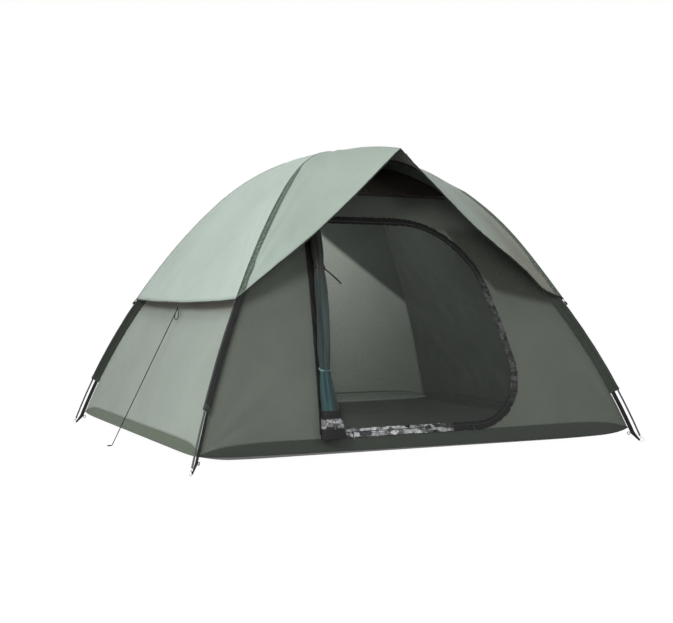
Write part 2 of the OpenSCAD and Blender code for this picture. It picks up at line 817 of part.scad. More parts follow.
roll_stops = [
    [roll_low_h, lower_tie_h - tie_w / 2],
    [lower_tie_h + tie_w / 2, upper_tie_h - tie_w / 2],
    [upper_tie_h + tie_w / 2, roll_top_h]
];
module rolled_door()
    color("#4c5651")
        tube([for (stop = roll_stops) for (i = [0:roll_steps])
            let (z = along(stop[0], stop[1], i / roll_steps))
            let (c = roll_centre(z))
            [for (k = [0:roll_sides - 1])
                let (a = -360 * k / roll_sides)
                c + [roll_half_w(z) * cos(a), roll_half_d(z) * sin(a), 0]]]);

tie_fit = 1.7;
tie_out = 1.2;
module door_tie(z) {
    phi = phi_at(z, wall_e);
    lean = atan2(share_y * cos(phi), sin(phi));
    translate(roll_centre(z))
        rotate([-lean, 0, 0])
            translate([0, -tie_out, 0])
                linear_extrude(tie_w, center = true)
                    washer(roll_tie_r + tie_fit + cloth, roll_tie_r + tie_fit);
}

module upper_door_tie()
    color("#2f3634") door_tie(upper_tie_h);

module lower_door_tie()
    color("#6f8f8c") door_tie(lower_tie_h);

// ---- Fly ----

// The hems are cut from skins that reach a few degrees past them
hem_over = 3;
hem_gap = 1.2;
module fly_side_outline(low, high) {
    reach = share_y * curve_r(hem_phi + hem_over / 2, fly_e, fly_rise);
    polygon(concat(
        [for (f = [-1:0.125:1]) [f * reach, hem_h - hem_sag * (1 - f * f) + low]],
        high > 0
        ? [for (f = [1:-0.125:-1]) [f * reach, hem_h - hem_sag * (1 - f * f) + high]]
        : [[reach, far], [-reach, far]]
    ));
}

seam_room = 0.7;
module fly_side_panel()
    intersection() {
        skin(share_x, fly_e, cloth, 0, hem_phi + hem_over, fly_rise);
        quarter(share_x, share_y, stitch_gap / 2);
        through_wall() fly_side_outline(0, 0);
        translate([ridge_cover + cloth, -far / 2, 0])
            cube(far);
    }

module fly_right_panel()
    color("#b0bfb5") fly_side_panel();

module fly_left_panel()
    color("#b4c5bb") rotate([0, 0, 180]) fly_side_panel();

module fly_hem()
    intersection() {
        skin(share_x, fly_e - cloth - hem_gap, cloth, hem_phi - hem_over * 2, hem_phi + hem_over, fly_rise);
        quarter(share_x, share_y, sleeve_r + cloth * 2);
        through_wall() fly_side_outline(0, hem_w);
    }

module fly_left_hem()
    color("#93a297") rotate([0, 0, 180]) fly_hem();

module fly_right_hem()
    color("#93a297") fly_hem();

// A gable panel: straight lines from the ridge to the front left pole
ridge_top_r = ridge_radius + ridge_cover + cloth;
function ridge_point(s, radius) =
    [0, -radius * sin(ridge_angle * s), ridge_h - ridge_radius + radius * cos(ridge_angle * s)];
function seam_point(s) =
    let (phi = hem_phi * s)
    let (r = curve_r(phi, fly_e, fly_rise))
    [-share_x * r, -share_y * r, curve_z(phi, fly_e, fly_rise)];
function gable_point(s, t) =
    let (ridge = ridge_point(s, ridge_top_r) - [ridge_part, 0, 0])
    let (seam = seam_point(s) + seam_room * [share_y, -share_x, 0])
    ridge + t * (seam - ridge);
gable_start = 0.045;
ridge_part = cloth * 0.75;
module gable_panel()
    patch(function (s, t) gable_point(s, t), gable_start, 12, 8, cloth);

module fly_front_left_panel()
    color("#adb9b0") gable_panel();

module fly_front_right_panel()
    color("#a6b3a9") mirror([1, 0, 0]) gable_panel();

module fly_rear_left_panel()
    color("#adb9b0") mirror([0, 1, 0]) gable_panel();

module fly_rear_right_panel()
    color("#a6b3a9") mirror([1, 0, 0]) mirror([0, 1, 0]) gable_panel();

// A small cap over the ridge pole closes the fly where its six panels meet
patch_half = 17;
patch_len = 38;
module fly_crown_patch() {
    top = ridge_cover + cloth + stitch_gap;
    low = fly_e + peak_h + fly_rise - ridge_h + stitch_gap;
    half_s = patch_len / 2 / (ridge_radius * rad(ridge_angle));
    color("#b4c5bb")
        ridge_sweep(-half_s, half_s)
            polygon([
                [low, -patch_half], [top, 0], [low, patch_half],
                [low + cloth, patch_half], [top + cloth, 0], [low + cloth, -patch_half]
            ]);
}

module rod(a, b, d)
    translate(a)
        rotate([0, acos((b - a).z / norm(b - a)), atan2((b - a).y, (b - a).x)])
            cylinder(h = norm(b - a), r = d / 2, $fn = 24);

// The binding runs along each brow edge, just outside the panel
binding_start = 0.03;
module brow_binding() {
    out = [0, -binding_d / 2 - stitch_gap, -binding_d / 4];
    for (side = [0:1])
        mirror([side, 0, 0])
            rod(gable_point(1, binding_start) + out, gable_point(1, 1 - binding_start / 2) + out, binding_d);
}

module brow_binding_front()
    color("#2b302c") brow_binding();

module brow_binding_rear()
    color("#2b302c") mirror([0, 1, 0]) brow_binding();

// Carries a flat profile along the ridge pole's arc, front to rear
module ridge_sweep(from_s, to_s)
    rotate([0, 0, 90])
        arc_sweep([0, ridge_h - ridge_radius], ridge_radius, ridge_angle * from_s, ridge_angle * to_s)
            children();

cap_len = 16;
ridge_end = 1 - (cap_len + webbing) / (ridge_radius * rad(ridge_angle));
ridge_gap_s = stitch_gap / (ridge_radius * rad(ridge_angle));
ridge_ferrule_s = ferrule_len / 2 / (ridge_radius * rad(ridge_angle));
module ridge_pole()
    color("#35383a")
        for (i = [0:ridge_sections - 1])
            ridge_sweep(
                ridge_end * (2 * i / ridge_sections - 1) + ridge_gap_s,
                ridge_end * (2 * (i + 1) / ridge_sections - 1) - ridge_gap_s
            )
                washer(pole_r, pole_bore / 2);

module ridge_ferrules()
    color("#b5b8ba")
        for (i = [1:ridge_sections - 1])
            ridge_sweep(
                ridge_end * (2 * i / ridge_sections - 1) - ridge_ferrule_s,
                ridge_end * (2 * i / ridge_sections - 1) + ridge_ferrule_s
            )
                washer(ferrule_r, pole_r + ferrule_fit);

module ridge_end_caps()
    color("#161717")
        for (side = [0:1])
            mirror([0, side, 0])
                ridge_sweep(ridge_end, ridge_end + cap_len / (ridge_radius * rad(ridge_angle)))
                    circle(pole_r + stitch_gap, $fn = 32);

loop_len = 40;
module ridge_loops() {
    half_s = loop_len / 2 / (ridge_radius * rad(ridge_angle));
    color("#93a297")
        for (s = [-0.6, -0.2, 0.2, 0.6])
            ridge_sweep(s - half_s, s + half_s)
                difference() {
                    union() {
                        circle(pole_r + stitch_gap + cloth / 2, $fn = 48);
                        translate([0, -cloth / 2])
                            square([ridge_cover - stitch_gap * 1.5, cloth]);
                    }
                    circle(pole_r + stitch_gap, $fn = 48);
                }
}

// A webbing pocket under each end of the ridge takes the pole's cap
pocket_w = 24;
pocket_len = 34;
module brow_pockets()
    color("#161717")
        for (side = [0:1])
            mirror([0, side, 0])
                ridge_sweep(1 - pocket_len / (ridge_radius * rad(ridge_angle)), 1)
                    difference() {
                        translate([-pole_r - webbing - stitch_gap * 2, -pocket_w / 2])
                            square([webbing, pocket_w]);
                        circle(pole_r + stitch_gap, $fn = 32);
                    }

toggle_drop = 26;
module toggle_place(sx, sy) {
    rise = rise_at(sx, sy);
    toward(sx, sy)
        pole_sweep_point(phi_at(hem_h - toggle_drop, 0, rise), rise)
            children();
}
// Stands children beside the pole: local x outwards, local z up along the pole
module pole_sweep_point(phi, rise)
    translate([curve_r(phi, 0, rise), 0, curve_z(phi, 0, rise)])
        rotate([0, phi - 90, 0])
            children();

toggle_out = sleeve_r + cloth + body_gap + toggle_d / 2;
module fly_toggles()
    color("#131414")
        for (sx = [-1, 1], sy = [-1, 1])
            toggle_place(sx, sy)
                translate([toggle_out, 0, 0]) {
                    cylinder(h = toggle_len - toggle_d, r = toggle_d / 2, center = true, $fn = 32);
                    for (end = [-1, 1])
                        translate([0, 0, end * (toggle_len - toggle_d) / 2])
                            sphere(toggle_d / 2, $fn = 32);
                }

loop_cord = 3;
loop_short = 7.5;
module fly_corner_loops()
    color("#1c1d1d")
        for (sx = [-1, 1], sy = [-1, 1])
            toggle_place(sx, sy)
                translate([toggle_out, 0, toggle_len / 2 + stitch_gap])
                    cylinder(h = toggle_drop - toggle_len / 2 - loop_short, r = loop_cord / 2, $fn = 24);

// ---- Guyline ----

guy_d = 4;
guy_loop_r = 9;
guy_exit = [-805, 0, 599.5];
guy_foot = [-1103, 0, 2];
guy_route = [guy_exit, guy_foot];
guy_rings = 76;
guy_sides = 8;

// A cord loop hangs from the middle of the left hem and holds the guyline
module guy_loop()
    color("#151616")
        translate([guy_exit.x, 0, guy_exit.z + guy_loop_r + guy_d / 2])
            rotate([0, 90, 0])
                rotate_extrude($fn = 64)
                    translate([guy_loop_r, 0])
                        circle(guy_d / 2, $fn = 24);

module guyline() {
    step = guy_route[1] - guy_route[0];
    side = [0, 1, 0];
    up = cross(step, side) / norm(step);
    color("#101111")
        tube([for (i = [0:guy_rings])
            [for (k = [0:guy_sides - 1])
                let (a = 360 * k / guy_sides)
                along(guy_route[0], guy_route[1], i / guy_rings)
                    + guy_d / 2 * (cos(a) * side + sin(a) * up)]]);
}

module guyline_end_loop()
    color("#101111")
        translate([guy_foot.x - guy_loop_r - guy_d / 2, 0, guy_d / 2])
            rotate_extrude($fn = 64)
                translate([guy_loop_r, 0])
                    circle(guy_d / 2, $fn = 24);

groundsheet();
front_wall();
rear_wall();
left_wall();
right_wall();
roof_mesh();
pole_sleeve(-1, -1);  // sleeve_front_left
pole_sleeve(1, -1);  // sleeve_front_right
pole_sleeve(-1, 1);  // sleeve_rear_left
pole_sleeve(1, 1);  // sleeve_rear_right
strap(-1, -1);  // strap_front_left
strap(1, -1);  // strap_front_right
strap(-1, 1);  // strap_rear_left
strap(1, 1);  // strap_rear_right
corner_rings();
tip_pins();
peg_loops();
pole_a();
pole_a_ferrules();
pole_a_shock_cord();
pole_b();
pole_b_ferrules();
pole_b_shock_cord();
crossing_tie();
lantern_loop();
door_zip_wall_tape();
mesh_sewn_strip();
rolled_door();
upper_door_tie();
lower_door_tie();
mesh_door_panel();
door_zip_mesh_tape();
zip_slider(slider_park_left);  // zip_slider_left
zip_pull(slider_park_left);  // zip_pull_left
zip_slider(slider_park_right);  // zip_slider_right
zip_pull(slider_park_right);  // zip_pull_right
fly_left_panel();
fly_right_panel();
fly_front_left_panel();
fly_front_right_panel();
fly_rear_left_panel();
fly_rear_right_panel();
fly_crown_patch();
fly_left_hem();
fly_right_hem();
brow_binding_front();
brow_binding_rear();
ridge_pole();
ridge_ferrules();
ridge_end_caps();
ridge_loops();
brow_pockets();
fly_toggles();
fly_corner_loops();
guy_loop();
guyline();
guyline_end_loop();
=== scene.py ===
# %% [markdown]
# # A dome tent with two crossing poles and a half-height rain fly
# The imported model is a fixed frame: every place below is in metres in that frame, the door
# faces -Y and the ground is at z = 0. The solids stay where they are, and each soft piece gets
# a finer one in its place.

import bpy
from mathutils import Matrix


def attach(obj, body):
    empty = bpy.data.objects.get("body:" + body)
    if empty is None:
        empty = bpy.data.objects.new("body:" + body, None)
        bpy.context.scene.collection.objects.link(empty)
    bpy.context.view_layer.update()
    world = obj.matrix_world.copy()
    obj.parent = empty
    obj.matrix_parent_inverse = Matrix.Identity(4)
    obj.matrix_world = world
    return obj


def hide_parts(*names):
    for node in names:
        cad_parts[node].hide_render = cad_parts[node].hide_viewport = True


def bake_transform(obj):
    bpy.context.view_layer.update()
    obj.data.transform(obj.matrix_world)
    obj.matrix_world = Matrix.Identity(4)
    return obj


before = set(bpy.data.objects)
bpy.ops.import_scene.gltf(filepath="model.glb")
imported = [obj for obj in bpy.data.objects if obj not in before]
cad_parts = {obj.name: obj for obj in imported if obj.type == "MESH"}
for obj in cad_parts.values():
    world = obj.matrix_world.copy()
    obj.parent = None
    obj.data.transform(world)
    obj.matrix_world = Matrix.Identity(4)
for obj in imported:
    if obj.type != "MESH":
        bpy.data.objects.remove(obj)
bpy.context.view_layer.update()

import bmesh
import bpy
import numpy as np

tau = 2 * np.pi
print("a whole turn is", round(tau, 4), "radians")

# %% [markdown]
# ## The camera
# A tent is looked at from a little above its door, by somebody who stands to its left. A long
# lens keeps the upright edges upright, and a small shift does what a tilt would do.

# %% Camera
eye = np.array([-2.311, -4.638, 0.640])
looking = np.array([0.4443, 0.8959, 0.0])
lens = bpy.data.cameras.new("camera")
lens.sensor_width, lens.lens, lens.shift_y = 36.0, 57.61, -0.01857
camera = bpy.data.objects.new("camera", lens)
camera.location = eye
camera.rotation_euler = (np.pi / 2, 0, -np.arctan2(looking[0], looking[1]))
bpy.context.scene.collection.objects.link(camera)
bpy.context.scene.camera = camera
print("the camera stands", round(float(np.linalg.norm(eye[:2])), 2), "m from the middle")

# %% [markdown]
# ## Meshes from grids
# Nearly every piece of a tent is a sheet, a tape or a tube, so each one is a grid of points
# that two parameters run over. One helper turns such a grid into a mesh, with a UV map in
# metres so that the weave keeps its size on every piece.

# %% Measuring lines and grids
def run_lengths(grid, axis, closed):
    """Mean distance gone along one direction of a grid, starting at nought."""
    if closed:
        grid = np.concatenate([grid, np.take(grid, [0], axis=axis)], axis=axis)
    steps = np.linalg.norm(np.diff(grid, axis=axis), axis=-1).mean(axis=1 - axis)
    return np.concatenate([[0.0], np.cumsum(steps)])


def gone_along(line):
    """Distance gone at each point of a line."""
    return run_lengths(line[:, None, :], 0, False)


def unit(v):
    """A vector, or each row of an array of them, at length one."""
    v = np.asarray(v, float)
    return v / np.linalg.norm(v, axis=-1, keepdims=True)


def directions(path, closed=False):
    """Direction of travel at each point of a path, from its two neighbours."""
    if closed:
        return unit(np.roll(path, -1, axis=0) - np.roll(path, 1, axis=0))
    return unit(np.gradient(path, axis=0))


def spaced(line, count):
    """The same line with count points at equal distances along it."""
    line = np.asarray(line, float)
    gone = gone_along(line)
    at = np.linspace(0, gone[-1], count)
    return np.stack([np.interp(at, gone, line[:, k]) for k in range(line.shape[1])], axis=1)


def whole_turn(count):
    """Angles at equal steps all the way round."""
    return np.linspace(0, tau, count, endpoint=False)


ring = np.stack([np.cos(whole_turn(90)), np.sin(whole_turn(90))], -1)
print("90 points round a circle of radius 1 measure",
      round(float(run_lengths(ring[:, None], 0, True)[-1]), 3))

# %% Which way a sheet faces
tent_middle = np.array([0.0, 0.0, 0.45])


def face_outwards(mesh):
    """Turns a sheet's faces so that they look away from the middle of the tent: summed over the
    faces, the normal times the offset from the middle has to be positive."""
    centres, normals = np.empty((2, len(mesh.polygons) * 3))
    mesh.polygons.foreach_get("center", centres)
    mesh.polygons.foreach_get("normal", normals)
    if ((centres.reshape(-1, 3) - tent_middle) * normals.reshape(-1, 3)).sum() < 0:
        mesh.flip_normals()


print("sheets face away from", tent_middle)

# %% Grids into pieces
def piece(name, grids, finish, body="tent", wrap=(False, False), thick=0.0, replaces=(),
          weld=False, lining=None):
    """One object from one or more grids of points. Each cell of a grid is a four-sided face, and
    the UV map holds the distances gone across and down. wrap closes a grid's two directions,
    weld merges points that coincide, and thick gives a sheet its thickness, with lining as the
    finish of its inner face."""
    points, quads, uvs, start = [], [], [], 0
    for grid in grids if isinstance(grids, list) else [grids]:
        rows, cols = grid.shape[:2]
        i, j = np.meshgrid(np.arange(rows - (not wrap[0])), np.arange(cols - (not wrap[1])),
                           indexing="ij")
        corners = [(i, j), (i + 1, j), (i + 1, j + 1), (i, j + 1)]
        quads.append(start + np.stack(
            [(a % rows) * cols + b % cols for a, b in corners], -1).reshape(-1, 4))
        down, over = run_lengths(grid, 0, wrap[0]), run_lengths(grid, 1, wrap[1])
        uvs.append(np.stack(
            [np.stack([over[b], down[a]], -1) for a, b in corners], -2).reshape(-1, 2))
        points.append(grid.reshape(-1, 3))
        start += rows * cols
    mesh = bpy.data.meshes.new(name)
    mesh.from_pydata(np.concatenate(points).tolist(), [], np.concatenate(quads).tolist())
    mesh.uv_layers.new(name="UVMap").data.foreach_set("uv", np.concatenate(uvs).ravel())
    if weld:
        work = bmesh.new()
        work.from_mesh(mesh)
        bmesh.ops.remove_doubles(work, verts=work.verts, dist=1e-6)
        bmesh.ops.recalc_face_normals(work, faces=work.faces)
        work.to_mesh(mesh)
        work.free()
    elif thick:
        face_outwards(mesh)
    mesh.shade_smooth()
    made = bpy.data.objects.new(name, mesh)
    bpy.context.scene.collection.objects.link(made)
    mesh.materials.append(finish)
    if thick:
        wall = made.modifiers.new("thickness", "SOLIDIFY")
        wall.thickness, wall.offset = thick, 0.0
        if lining:
            mesh.materials.append(lining)
            wall.material_offset = 1
    if body:
        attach(made, body)
    if replaces:
        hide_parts(*([replaces] if isinstance(replaces, str) else replaces))
    return made


print("a piece rides on the tent unless it says otherwise")

# %% Reading and painting a piece
def points_of(made):
    """The x, y and z of a piece's vertices."""
    places = np.empty(len(made.data.vertices) * 3)
    made.data.vertices.foreach_get("co", places)
    return places.reshape(-1, 3).T


def paint(made, values):
    """One number for each vertex, in the attribute that painted finishes read: painted light
    and shade on most pieces, and a tint on the rolled door.
    """
    layer = made.data.attributes.new("light_shade_and_tint", "FLOAT", "POINT")
    layer.data.foreach_set("value", np.ravel(values))


print("a painted finish reads one number for each vertex")

# %% Tubes and other swept shapes
def swept(path, profile, ref, closed=False):
    """A profile of (out, side) carried along a path: out lies along ref, square to the path,
    and the end rings shrink to a point to close the tube."""
    path = np.asarray(path, float)
    along = directions(path, closed)
    side = unit(np.cross(along, np.broadcast_to(ref, path.shape)))
    out = np.cross(side, along)
    profile = np.broadcast_to(profile, (len(path),) + np.asarray(profile).shape[-2:])
    rings = (path[:, None] + profile[..., :1] * out[:, None] + profile[..., 1:] * side[:, None])
    if closed:
        return rings
    ends = [np.repeat(rings[k].mean(axis=0)[None, None], rings.shape[1], axis=1) for k in (0, -1)]
    return np.concatenate([ends[0], rings, ends[1]])


def circle(radius, sides=12):
    """Points of a round profile; radius may be an array, one value for each ring."""
    a = whole_turn(sides)
    return np.asarray(radius, float)[..., None, None] * np.stack([np.cos(a), np.sin(a)], -1)


def boxy(wave, power):
    """A wave raised to a power below one, with its sign kept, which flattens its tops."""
    return np.sign(wave) * np.abs(wave) ** power


def flat_profile(width, thick, sides=24):
    """A rounded-off rectangle: a circle whose cosine and sine are made boxy."""
    a = whole_turn(sides) + np.pi / sides
    return np.stack([width / 2 * boxy(np.cos(a), 0.35), thick / 2 * boxy(np.sin(a), 0.35)], -1)


tube = swept([[0, 0, 0], [0, 0, 0.5], [0, 0, 1]], circle(0.01), [1, 0, 0])
print("a tube along three points has", tube.shape[0], "rings of", tube.shape[1], "points")

# %% Irregular heights
def crumple(a, b, size, seed, turns=9):
    """A soft irregular height that seldom leaves -1 to 1: twice the mean of sine waves whose
    directions, lengths and phases are drawn once from a seed."""
    draw = np.random.default_rng(seed)
    turn, phase = draw.uniform(0, tau, turns), draw.uniform(0, tau, turns)
    wave = tau / (size * draw.uniform(0.35, 1, turns))
    flow = np.asarray(a)[..., None] * np.cos(turn) + np.asarray(b)[..., None] * np.sin(turn)
    return np.sin(wave * flow + phase).mean(axis=-1) * 2


sample = crumple(np.linspace(0, 9, 900), 0, 1.0, 1)
print("a crumple runs from", sample.min().round(2), "to", sample.max().round(2))

# %% [markdown]
# ## Finishes
# Tent cloth is dull, with a fine weave, a slight mottle and soft creases. Each finish is built
# from a few nodes: noise in the tent's own space for the mottle and the creases, and two sets
# of stripes on the UV map for the threads.

# %% Materials and nodes
def linear(code):
    """A colour written as six hexadecimal digits, as the shader takes it."""
    value = np.array([int(code[k:k + 2], 16) for k in (0, 2, 4)]) / 255
    value = np.where(value <= 0.04045, value / 12.92, ((value + 0.055) / 1.055) ** 2.4)
    return (*value, 1.0)


def node(tree, kind, inputs=None, **settings):
    """A shader node with its settings; each input is a value or another node's socket."""
    made = tree.nodes.new("ShaderNode" + kind)
    for key, value in settings.items():
        setattr(made, key, value)
    for key, value in (inputs or {}).items():
        if isinstance(value, bpy.types.NodeSocket):
            tree.links.new(value, made.inputs[key])
        else:
            made.inputs[key].default_value = value
    return made


def start_finish(name, **sockets):
    """A new material, its tree, and its shader with constants set on the shader's sockets."""
    material = bpy.data.materials.new(name)
    material.use_nodes = True
    shader = material.node_tree.nodes["Principled BSDF"]
    for key, value in sockets.items():
        shader.inputs[key.replace("_", " ")].default_value = value
    return material, material.node_tree, shader


packed_finishes = len(bpy.data.materials)
print(packed_finishes, "finishes came with the model, and the colour 808080 gives",
      round(float(linear("808080")[0]), 3), "of white's light")

# %% Mixing, noise, bumps and threads
def mixed(tree, factor, a, b):
    """Colour a at factor 0 and colour b at factor 1."""
    return node(tree, "Mix", {0: factor, 6: a, 7: b}, data_type="RGBA").outputs[2]


def maths(tree, what, *values):
    """One Math node's result."""
    return node(tree, "Math", dict(enumerate(values)), operation=what).outputs[0]


def noise(tree, where, scale, detail=3.0, rough=0.55):
    """Soft noise from 0 to 1 at a place."""
    return node(tree, "TexNoise", {"Vector": where, "Scale": scale, "Detail": detail,
                                   "Roughness": rough}).outputs[0]


def ramp(tree, value, low, high):
    """0 below low, 1 above high, and even between them."""
    return node(tree, "MapRange", {0: value, 1: low, 2: high}).outputs[0]


def bump(tree, height, distance, strength=1.0, under=None):
    """A bump of a height in metres, over another one if under is given."""
    inputs = {"Height": height, "Distance": distance, "Strength": strength}
    if under:
        inputs["Normal"] = under
    return node(tree, "Bump", inputs).outputs[0]


def threads(tree, where, pitch):
    """Height of a plain weave: stripes along both directions, one thread to each pitch."""
    scale = np.pi / 10 / pitch
    across = node(tree, "TexWave", {"Vector": where, "Scale": scale}, bands_direction="X")
    along = node(tree, "TexWave", {"Vector": where, "Scale": scale}, bands_direction="Y")
    return maths(tree, "MULTIPLY", across.outputs[1], along.outputs[1])


print("threads 1 mm apart need stripes at a scale of", round(np.pi / 10 / 0.001, 1))

# %% Woven cloth
def woven(name, colour, deep, pitch=0.0011, crease=0.0012, rough=0.78, painted=None):
    """Cloth: its colour drifts towards a deeper one, threads show close up, and creases run
    over it. A painted colour, which is painted light or shade, shows where the piece's
    painted attribute is 1."""
    material, tree, shader = start_finish(name, Roughness=rough, Sheen_Weight=0.15,
                                          Sheen_Roughness=0.5, Specular_IOR_Level=0.3)
    place = node(tree, "TexCoord").outputs
    drift = ramp(tree, noise(tree, place["Object"], 3.2), 0.3, 0.72)
    grain = ramp(tree, noise(tree, place["Object"], 85.0, 4.0), 0.25, 0.8)
    weave = threads(tree, place["UV"], pitch)
    tone = maths(tree, "MULTIPLY", drift, 0.55)
    tone = maths(tree, "ADD", tone, maths(tree, "MULTIPLY", grain, 0.25))
    tone = maths(tree, "ADD", tone, maths(tree, "MULTIPLY", weave, -0.18))
    base = mixed(tree, tone, linear(colour), linear(deep))
    if painted:
        light_shade_and_tint = node(tree, "Attribute", attribute_name="light_shade_and_tint").outputs[2]
        cloudy = maths(tree, "MULTIPLY_ADD", grain, -0.25, 1.0)
        base = mixed(tree, maths(tree, "MULTIPLY", light_shade_and_tint, cloudy), base, linear(painted))
    tree.links.new(base, shader.inputs["Base Color"])
    folds = bump(tree, noise(tree, place["Object"], 14.0, 3.0), crease * 2, 0.6)
    fine = bump(tree, weave, 0.00012, 0.5, folds)
    tree.links.new(fine, shader.inputs["Normal"])
    return material


print("a woven finish takes two colours, and a third one where it is painted")

# %% The tent's cloths, tapes and ribbons
# Each name is followed by the cloth's own colour and the deeper one that it drifts towards.
# The fly's painted colours are painted shade near its right corners, which only the gables get,
# and the gables are the fly's cloth made a little darker, which is painted shade too.
fly_cloth = woven("pale_fly_cloth", "c0cfc5", "acbab0", painted="9b9b90")
fly_gable_cloth = woven("fly_gable_cloth", "a9b7ac", "98a69b", painted="8b8a7f")
# The side walls' painted colour is painted shade under the fly's hem.
side_cloth = woven("side_wall_cloth", "a3aea4", "909a90", painted="75675a")
# The front and rear walls are the side walls' cloth made darker, which is painted shade, and the
# front's painted colour is the brow's painted shadow.
front_cloth = woven("front_wall_cloth", "6a7168", "595f57", painted="1d1e16")
rear_cloth = woven("rear_wall_cloth", "6a7168", "595f57")
# The groundsheet's painted colours are painted light on the left and rear of its band, outside and
# on its inner face.
tub_cloth = woven("groundsheet_cloth", "323831", "282d27", 0.0014, rough=0.6, painted="4f5d48")
tub_lining = woven("groundsheet_lining", "3b403c", "2e322f", painted="a3aba2")
# The sleeves' painted colour is painted shade.
sleeve_cloth = woven("sleeve_cloth", "394039", "2b302a", pitch=0.0013, painted="0f100f")
# The piping's pale colour is partly a painted highlight on the front left sleeve's edge.
piping_and_highlight_cloth = woven("sleeve_piping_and_highlight", "b4b8b1", "8f948d", pitch=0.0013)
seam_cloth = woven("seam_tape", "7d897f", "5c675d", pitch=0.0016)
black_webbing = woven("black_webbing", "101111", "090909", pitch=0.0022, crease=0.0004)
tie_ribbon = woven("dark_tie_ribbon", "1e2422", "141817", pitch=0.0012, crease=0.0004)
teal_ribbon = woven("pale_tie_ribbon", "86aaa6", "6c8e8a", pitch=0.0012, crease=0.0004)
dark_binding = woven("brow_binding", "262b25", "181b16", pitch=0.0012)
# The linings are the inner faces, darker than the outer cloths: painted shade for the dim inside
# and under the fly, and for the fly partly its coating. The rear lining's painted colour is
# painted light where daylight comes through the rear wall.
fly_lining = woven("fly_lining", "58594c", "3f4035")
wall_lining = woven("wall_lining", "484e49", "3a3f3b")
rear_lining = woven("rear_wall_lining", "454b46", "383d39", painted="b6beb3")
brown_tape = woven("brown_tape", "3b3530", "2b2622", pitch=0.0012)
print(len(bpy.data.materials) - packed_finishes, "cloths and tapes are ready")

# %% [markdown]
# ## Net, cord and hard finishes
# Insect mesh is far finer than any net that could be modelled, so it is a plain sheet that lets
# a fixed share of the light through. Cord gets slanted stripes for its strands. Metal, fibre and
# plastic share one recipe: a colour worn paler in patches, and a fine grain in the gloss.

# %% Net and cord
def netting(name, colour, cover):
    """Fine netting: a constant alpha for what it lets through, and a weave in its colour."""
    material, tree, shader = start_finish(name, Roughness=0.9, Alpha=cover, Specular_IOR_Level=0.1)
    place = node(tree, "TexCoord").outputs
    weave = threads(tree, place["UV"], 0.0016)
    cloud = ramp(tree, noise(tree, place["Object"], 6.0), 0.3, 0.7)
    tone = maths(tree, "ADD", maths(tree, "MULTIPLY", weave, 0.25),
                 maths(tree, "MULTIPLY", cloud, 0.45))
    colours = [np.array(linear(colour)) * k for k in (0.75, 1.25)]
    tree.links.new(mixed(tree, tone, *[(*c[:3], 1.0) for c in colours]),
                   shader.inputs["Base Color"])
    tree.links.new(bump(tree, weave, 0.0002, 0.5), shader.inputs["Normal"])
    return material


def twisted(name, colour, deep, pitch=0.004):
    """Cord: slanted stripes on the UV map make the strands."""
    material, tree, shader = start_finish(name, Roughness=0.7, Specular_IOR_Level=0.35)
    place = node(tree, "TexCoord").outputs
    slant = node(tree, "TexWave", {"Vector": place["UV"], "Scale": np.pi / 10 / pitch},
                 bands_direction="DIAGONAL").outputs[1]
    dust = noise(tree, place["Object"], 120.0)
    tone = maths(tree, "MULTIPLY", slant, dust)
    tree.links.new(mixed(tree, tone, linear(colour), linear(deep)), shader.inputs["Base Color"])
    tree.links.new(bump(tree, slant, 0.0004, 0.7), shader.inputs["Normal"])
    return material


door_netting = netting("door_netting", "4c514c", 0.34)
roof_netting = netting("roof_netting", "4a443d", 0.8)
black_cord = twisted("black_cord", "1c1e1e", "0c0d0d")
print("two nets and a cord make it", len(bpy.data.materials) - packed_finishes, "finishes")

# %% Metal, fibre and plastic
def solid_finish(name, colour, worn, rough, metal=0.0):
    """Worn paler in patches, with a fine grain in its gloss and its surface."""
    material, tree, shader = start_finish(name, Metallic=metal)
    place = node(tree, "TexCoord").outputs
    fine = noise(tree, place["Object"], 160.0, 4.0)
    wear = ramp(tree, noise(tree, place["Object"], 22.0, 5.0), 0.5, 0.75)
    tree.links.new(mixed(tree, wear, linear(colour), linear(worn)), shader.inputs["Base Color"])
    gloss = maths(tree, "MULTIPLY_ADD", fine, 0.3, rough - 0.15)
    tree.links.new(gloss, shader.inputs["Roughness"])
    tree.links.new(bump(tree, fine, 0.0001, 0.6), shader.inputs["Normal"])
    return material


glass_fibre = solid_finish("glass_fibre", "34383a", "43484a", 0.42)
steel = solid_finish("steel", "c4c6c7", "8f9293", 0.3, 0.95)
black_plastic = solid_finish("black_plastic", "17191a", "2a2d2e", 0.42)
zip_metal = solid_finish("zip_metal", "3b3e40", "6d7173", 0.35, 0.8)
tip_wrap = solid_finish("shock_cord_cover", "1b1b1b", "2b2b2b", 0.7)
print(len(bpy.data.materials) - packed_finishes, "finishes are ready")

# %% [markdown]
# ## The curve of the poles
# Everything on this tent follows the two crossing poles. Each half of a pole is a crown arc and
# a leg arc that meet without a kink, so two radii and a slope give every point of it, and a
# cloth wall is the same curve pulled inwards.

# %% Sizes of the poles' curve
foot_w, foot_d, peak_h = 2.100, 1.840, 1.320
tip_slope, crown_slope = np.radians(67), np.radians(40)
tip_lift = 0.0277    # height of the poles' tips above the ground
pole_rise = 0.009    # how much higher the upper pole passes
half_diagonal = np.hypot(foot_w, foot_d) / 2
share_x, share_y = foot_w / 2 / half_diagonal, foot_d / 2 / half_diagonal
up = np.array([0.0, 0.0, 1.0])


def arc_radii(rise):
    """Radii of the leg and crown arcs: together they span half the diagonal and the height."""
    spans = [[np.sin(tip_slope) - np.sin(crown_slope), np.sin(crown_slope)],
             [np.cos(crown_slope) - np.cos(tip_slope), 1 - np.cos(crown_slope)]]
    return np.linalg.solve(spans, [half_diagonal, peak_h + rise - tip_lift])


print("leg and crown radii", arc_radii(0.0).round(3), "m")

